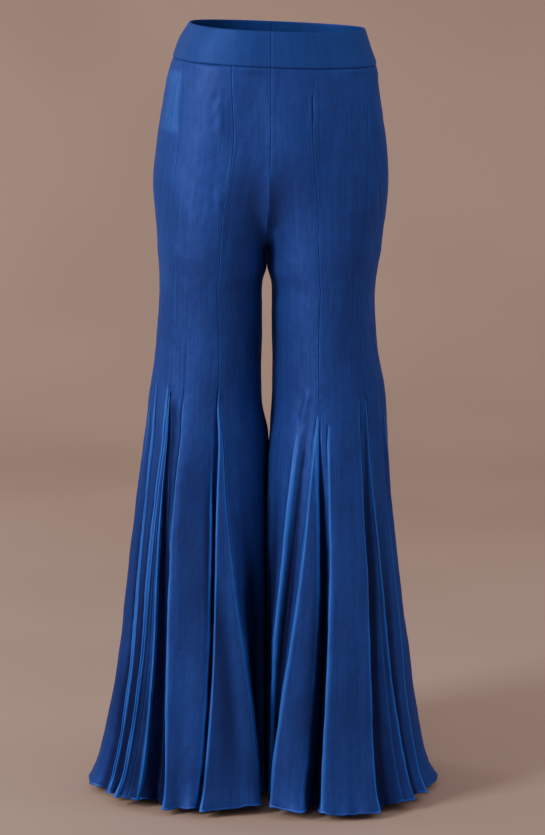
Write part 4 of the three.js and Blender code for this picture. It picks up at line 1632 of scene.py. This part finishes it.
PANEL_SATIN = SatinFinish(
    name="royal_blue_satin",
    colour=(0.028, 0.044, 0.218),
    thin_colour=(0.034, 0.061, 0.305),
    roughness=0.55,
    metallic=0.38,
    slub=1.0,
    crumple=1.0,
)
BAND_SATIN = SatinFinish(
    name="royal_blue_waistband_satin",
    colour=(0.026, 0.049, 0.23),
    thin_colour=(0.03, 0.06, 0.275),
    roughness=0.58,
    metallic=0.32,
    slub=0.8,
    crumple=0.35,
)


# ---------------------------------------------------------------------------------------------- studio


@dataclass(frozen=True)
class SoftLight:
    """A soft box: where it stands, what it faces, and how large and bright it is."""

    name: str
    place: tuple[float, float, float]
    target: tuple[float, float, float]
    size: tuple[float, float]
    power: float
    colour: tuple[float, float, float] = (1.0, 1.0, 1.0)

    def light(self) -> bpy.types.Object:
        """Make the light."""
        bpy.ops.object.light_add(type="AREA", location=self.place)
        lamp = bpy.context.object
        lamp.name = self.name
        lamp.data.shape = "RECTANGLE"
        lamp.data.size, lamp.data.size_y = self.size
        lamp.data.energy = self.power
        lamp.data.color = self.colour
        lamp.rotation_euler = (Vector(self.target) - Vector(self.place)).to_track_quat("-Z", "Y").to_euler()
        return lamp


@dataclass(frozen=True)
class Studio:
    """The plain pale floor and backdrop, the soft light and the camera. Sizes in metres."""

    floor_height: float = -1.083
    floor_colour: tuple[float, float, float] = (0.53, 0.355, 0.275)
    wall_from: float = 2.2
    wall_curve: float = 1.2
    wall_height: float = 4.0
    wall_width: float = 3.4
    floor_width: float = 16.0
    near: float = -7.0
    floor_edge: float = 2.1
    wall_steps: int = 25
    paper_grain: Grain = Grain((2, 2, 2))
    paper_shades: tuple[float, ...] = (0.3, 0.7, 0.96, 1.04)
    paper_roughness: float = 0.9
    paper_specular: float = 0.15
    air_colour: tuple[float, float, float] = (0.95, 0.93, 1.0)
    air_strength: float = 0.42
    camera_place: tuple[float, float, float] = (0.002, -3.75, 0.182)
    camera_pitch: float = 11.024
    focal_pixels: float = 2714.0
    picture_height: float = 835.0
    sensor: float = 36.0
    far: float = 60.0
    lights: tuple[SoftLight, ...] = (
        SoftLight("key", (-3.3, -2.3, 1.1), (0, 0, -0.5), (1.0, 1.8), 122, (1.0, 0.99, 0.98)),
        SoftLight("front", (-0.9, -4.2, 1.6), (0, 0, -0.6), (1.2, 1.2), 10, (1.0, 0.99, 0.98)),
        SoftLight("rim", (-2.4, 1.4, 0.9), (0, 0, -0.5), (0.8, 2.0), 12),
        SoftLight("fill", (2.9, -0.9, 1.3), (0.3, 0, -0.7), (1.8, 1.8), 20, (1.0, 0.97, 0.95)),
    )

    def backdrop(self) -> bpy.types.Object:
        """Make the floor, swept up into a wall just wide enough for the camera."""
        bpy.ops.object.select_all(action="DESELECT")
        bpy.ops.mesh.primitive_plane_add(size=1.0, location=(0, 0, self.floor_height))
        floor = bpy.context.object
        floor.name = "studio_floor"
        turns = [
            (self.wall_from + self.wall_curve * math.sin(a), self.wall_curve * (1 - math.cos(a)))
            for a in np.linspace(0, math.pi / 2, self.wall_steps)
        ]
        wall = [*turns, (self.wall_from + self.wall_curve, self.wall_height)]
        line = [(self.near, 0.0, self.floor_width), (self.floor_edge, 0.0, self.floor_width)]
        line += [(y, z, self.wall_width) for y, z in wall]
        points = [(side * w / 2, y, z + self.floor_height) for y, z, w in line for side in (-1, 1)]
        faces = [(2 * i, 2 * i + 1, 2 * i + 3, 2 * i + 2) for i in range(len(line) - 1)]
        floor.data.clear_geometry()
        floor.data.from_pydata(points, [], faces)
        floor.data.shade_smooth()
        floor.location = (0, 0, 0)
        material = bpy.data.materials.new("studio_paper")
        material.use_nodes = True
        graph = NodeGraph(material.node_tree)
        shader = material.node_tree.nodes["Principled BSDF"]
        place = graph.node("ShaderNodeTexCoord").outputs["Object"]
        grain = graph.ramp(graph.noise(place, self.paper_grain), *self.paper_shades)
        paper = graph.node("ShaderNodeMix", data_type="RGBA", blend_type="MULTIPLY")
        paper.inputs[0].default_value = 1.0
        paper.inputs[6].default_value = (*self.floor_colour, 1)
        graph.feed(paper.inputs[7], grain)
        graph.feed(shader.inputs["Base Color"], paper.outputs[2])
        shader.inputs["Roughness"].default_value = self.paper_roughness
        shader.inputs["Specular IOR Level"].default_value = self.paper_specular
        floor.data.materials.append(material)
        return floor

    def camera(self) -> bpy.types.Object:
        """Stand the camera where the photograph was taken from."""
        bpy.ops.object.camera_add(location=self.camera_place)
        camera = bpy.context.object
        camera.name = "camera"
        camera.rotation_euler = (math.radians(90 - self.camera_pitch), 0, 0)
        camera.data.sensor_width = self.sensor
        camera.data.lens = self.sensor * self.focal_pixels / self.picture_height
        camera.data.clip_end = self.far
        bpy.context.scene.camera = camera
        return camera

    def build(self) -> None:
        """Make all of it, and an even grey world light."""
        self.backdrop()
        for light in self.lights:
            light.light()
        self.camera()
        world = bpy.data.worlds.new("studio_air")
        bpy.context.scene.world = world
        world.use_nodes = True
        air = world.node_tree.nodes["Background"]
        air.inputs["Color"].default_value = (*self.air_colour, 1)
        air.inputs["Strength"].default_value = self.air_strength


# ---------------------------------------------------------------------------------------------- trousers


@dataclass(frozen=True)
class FlatCut:
    """The cut of a piece inside its seam allowances: its greatest width, length and area, in metres."""

    width: float
    length: float
    area: float


@dataclass(frozen=True)
class Held:
    """How a piece of cloth is held, and the names of the pieces that it hangs from."""

    how: Hang
    by: tuple[str, ...]


@dataclass
class Trousers:
    """The whole garment."""

    legs: tuple[LegCut, ...] = (RIGHT_LEG, LEFT_LEG)
    band: Waistband = Waistband()

    def dress(
        self, piece: ClothPiece, node: str, material: bpy.types.Material
    ) -> None:
        """Turn one piece into an object that stands for its solid, and its flare's where that is apart.

        Args:
            piece: the cloth.
            node: the solid that it replaces.
            material: its finish.
        """
        mesh = piece.mesh()
        mesh.materials.append(material)
        obj = bpy.data.objects.new(f"satin_{node}", mesh)
        bpy.context.collection.objects.link(obj)
        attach(obj, "root")
        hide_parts(*(name for name in (node, f"{node}_flare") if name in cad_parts))
        area = piece.area()
        width = float(np.ptp(piece.across, axis=1).max()) * MM
        rows = np.linalg.norm(np.diff(piece.outer[:, piece.outer.shape[1] // 2], axis=0), axis=-1).sum() * MM
        LOG.info("%s: cut %.3f x %.3f m, %.4f m2, %d faces", node, width, rows, area, len(mesh.polygons))

    def build(self) -> None:
        """Build every piece of both legs and of the waistband."""
        face = SatinFace().group()
        satin, band_satin = PANEL_SATIN.material(face), BAND_SATIN.material(face)
        for cut in self.legs:
            side = cut.side.value
            for name, start, end in self.band.spans:
                piece = self.band.piece(cut, name, start, end)
                self.dress(piece, f"{side}_{name}", band_satin)
            pieces = LegCloth(cut, RELIEF).pieces()
            for i, piece in enumerate(pieces):
                self.dress(piece, f"{side}_{piece.name}", satin)


def main() -> None:
    """Build the trousers in their studio."""
    logging.basicConfig(level=logging.INFO, format="%(message)s")
    Studio().build()
    Trousers().build()


if __name__ == "__main__":
    main()
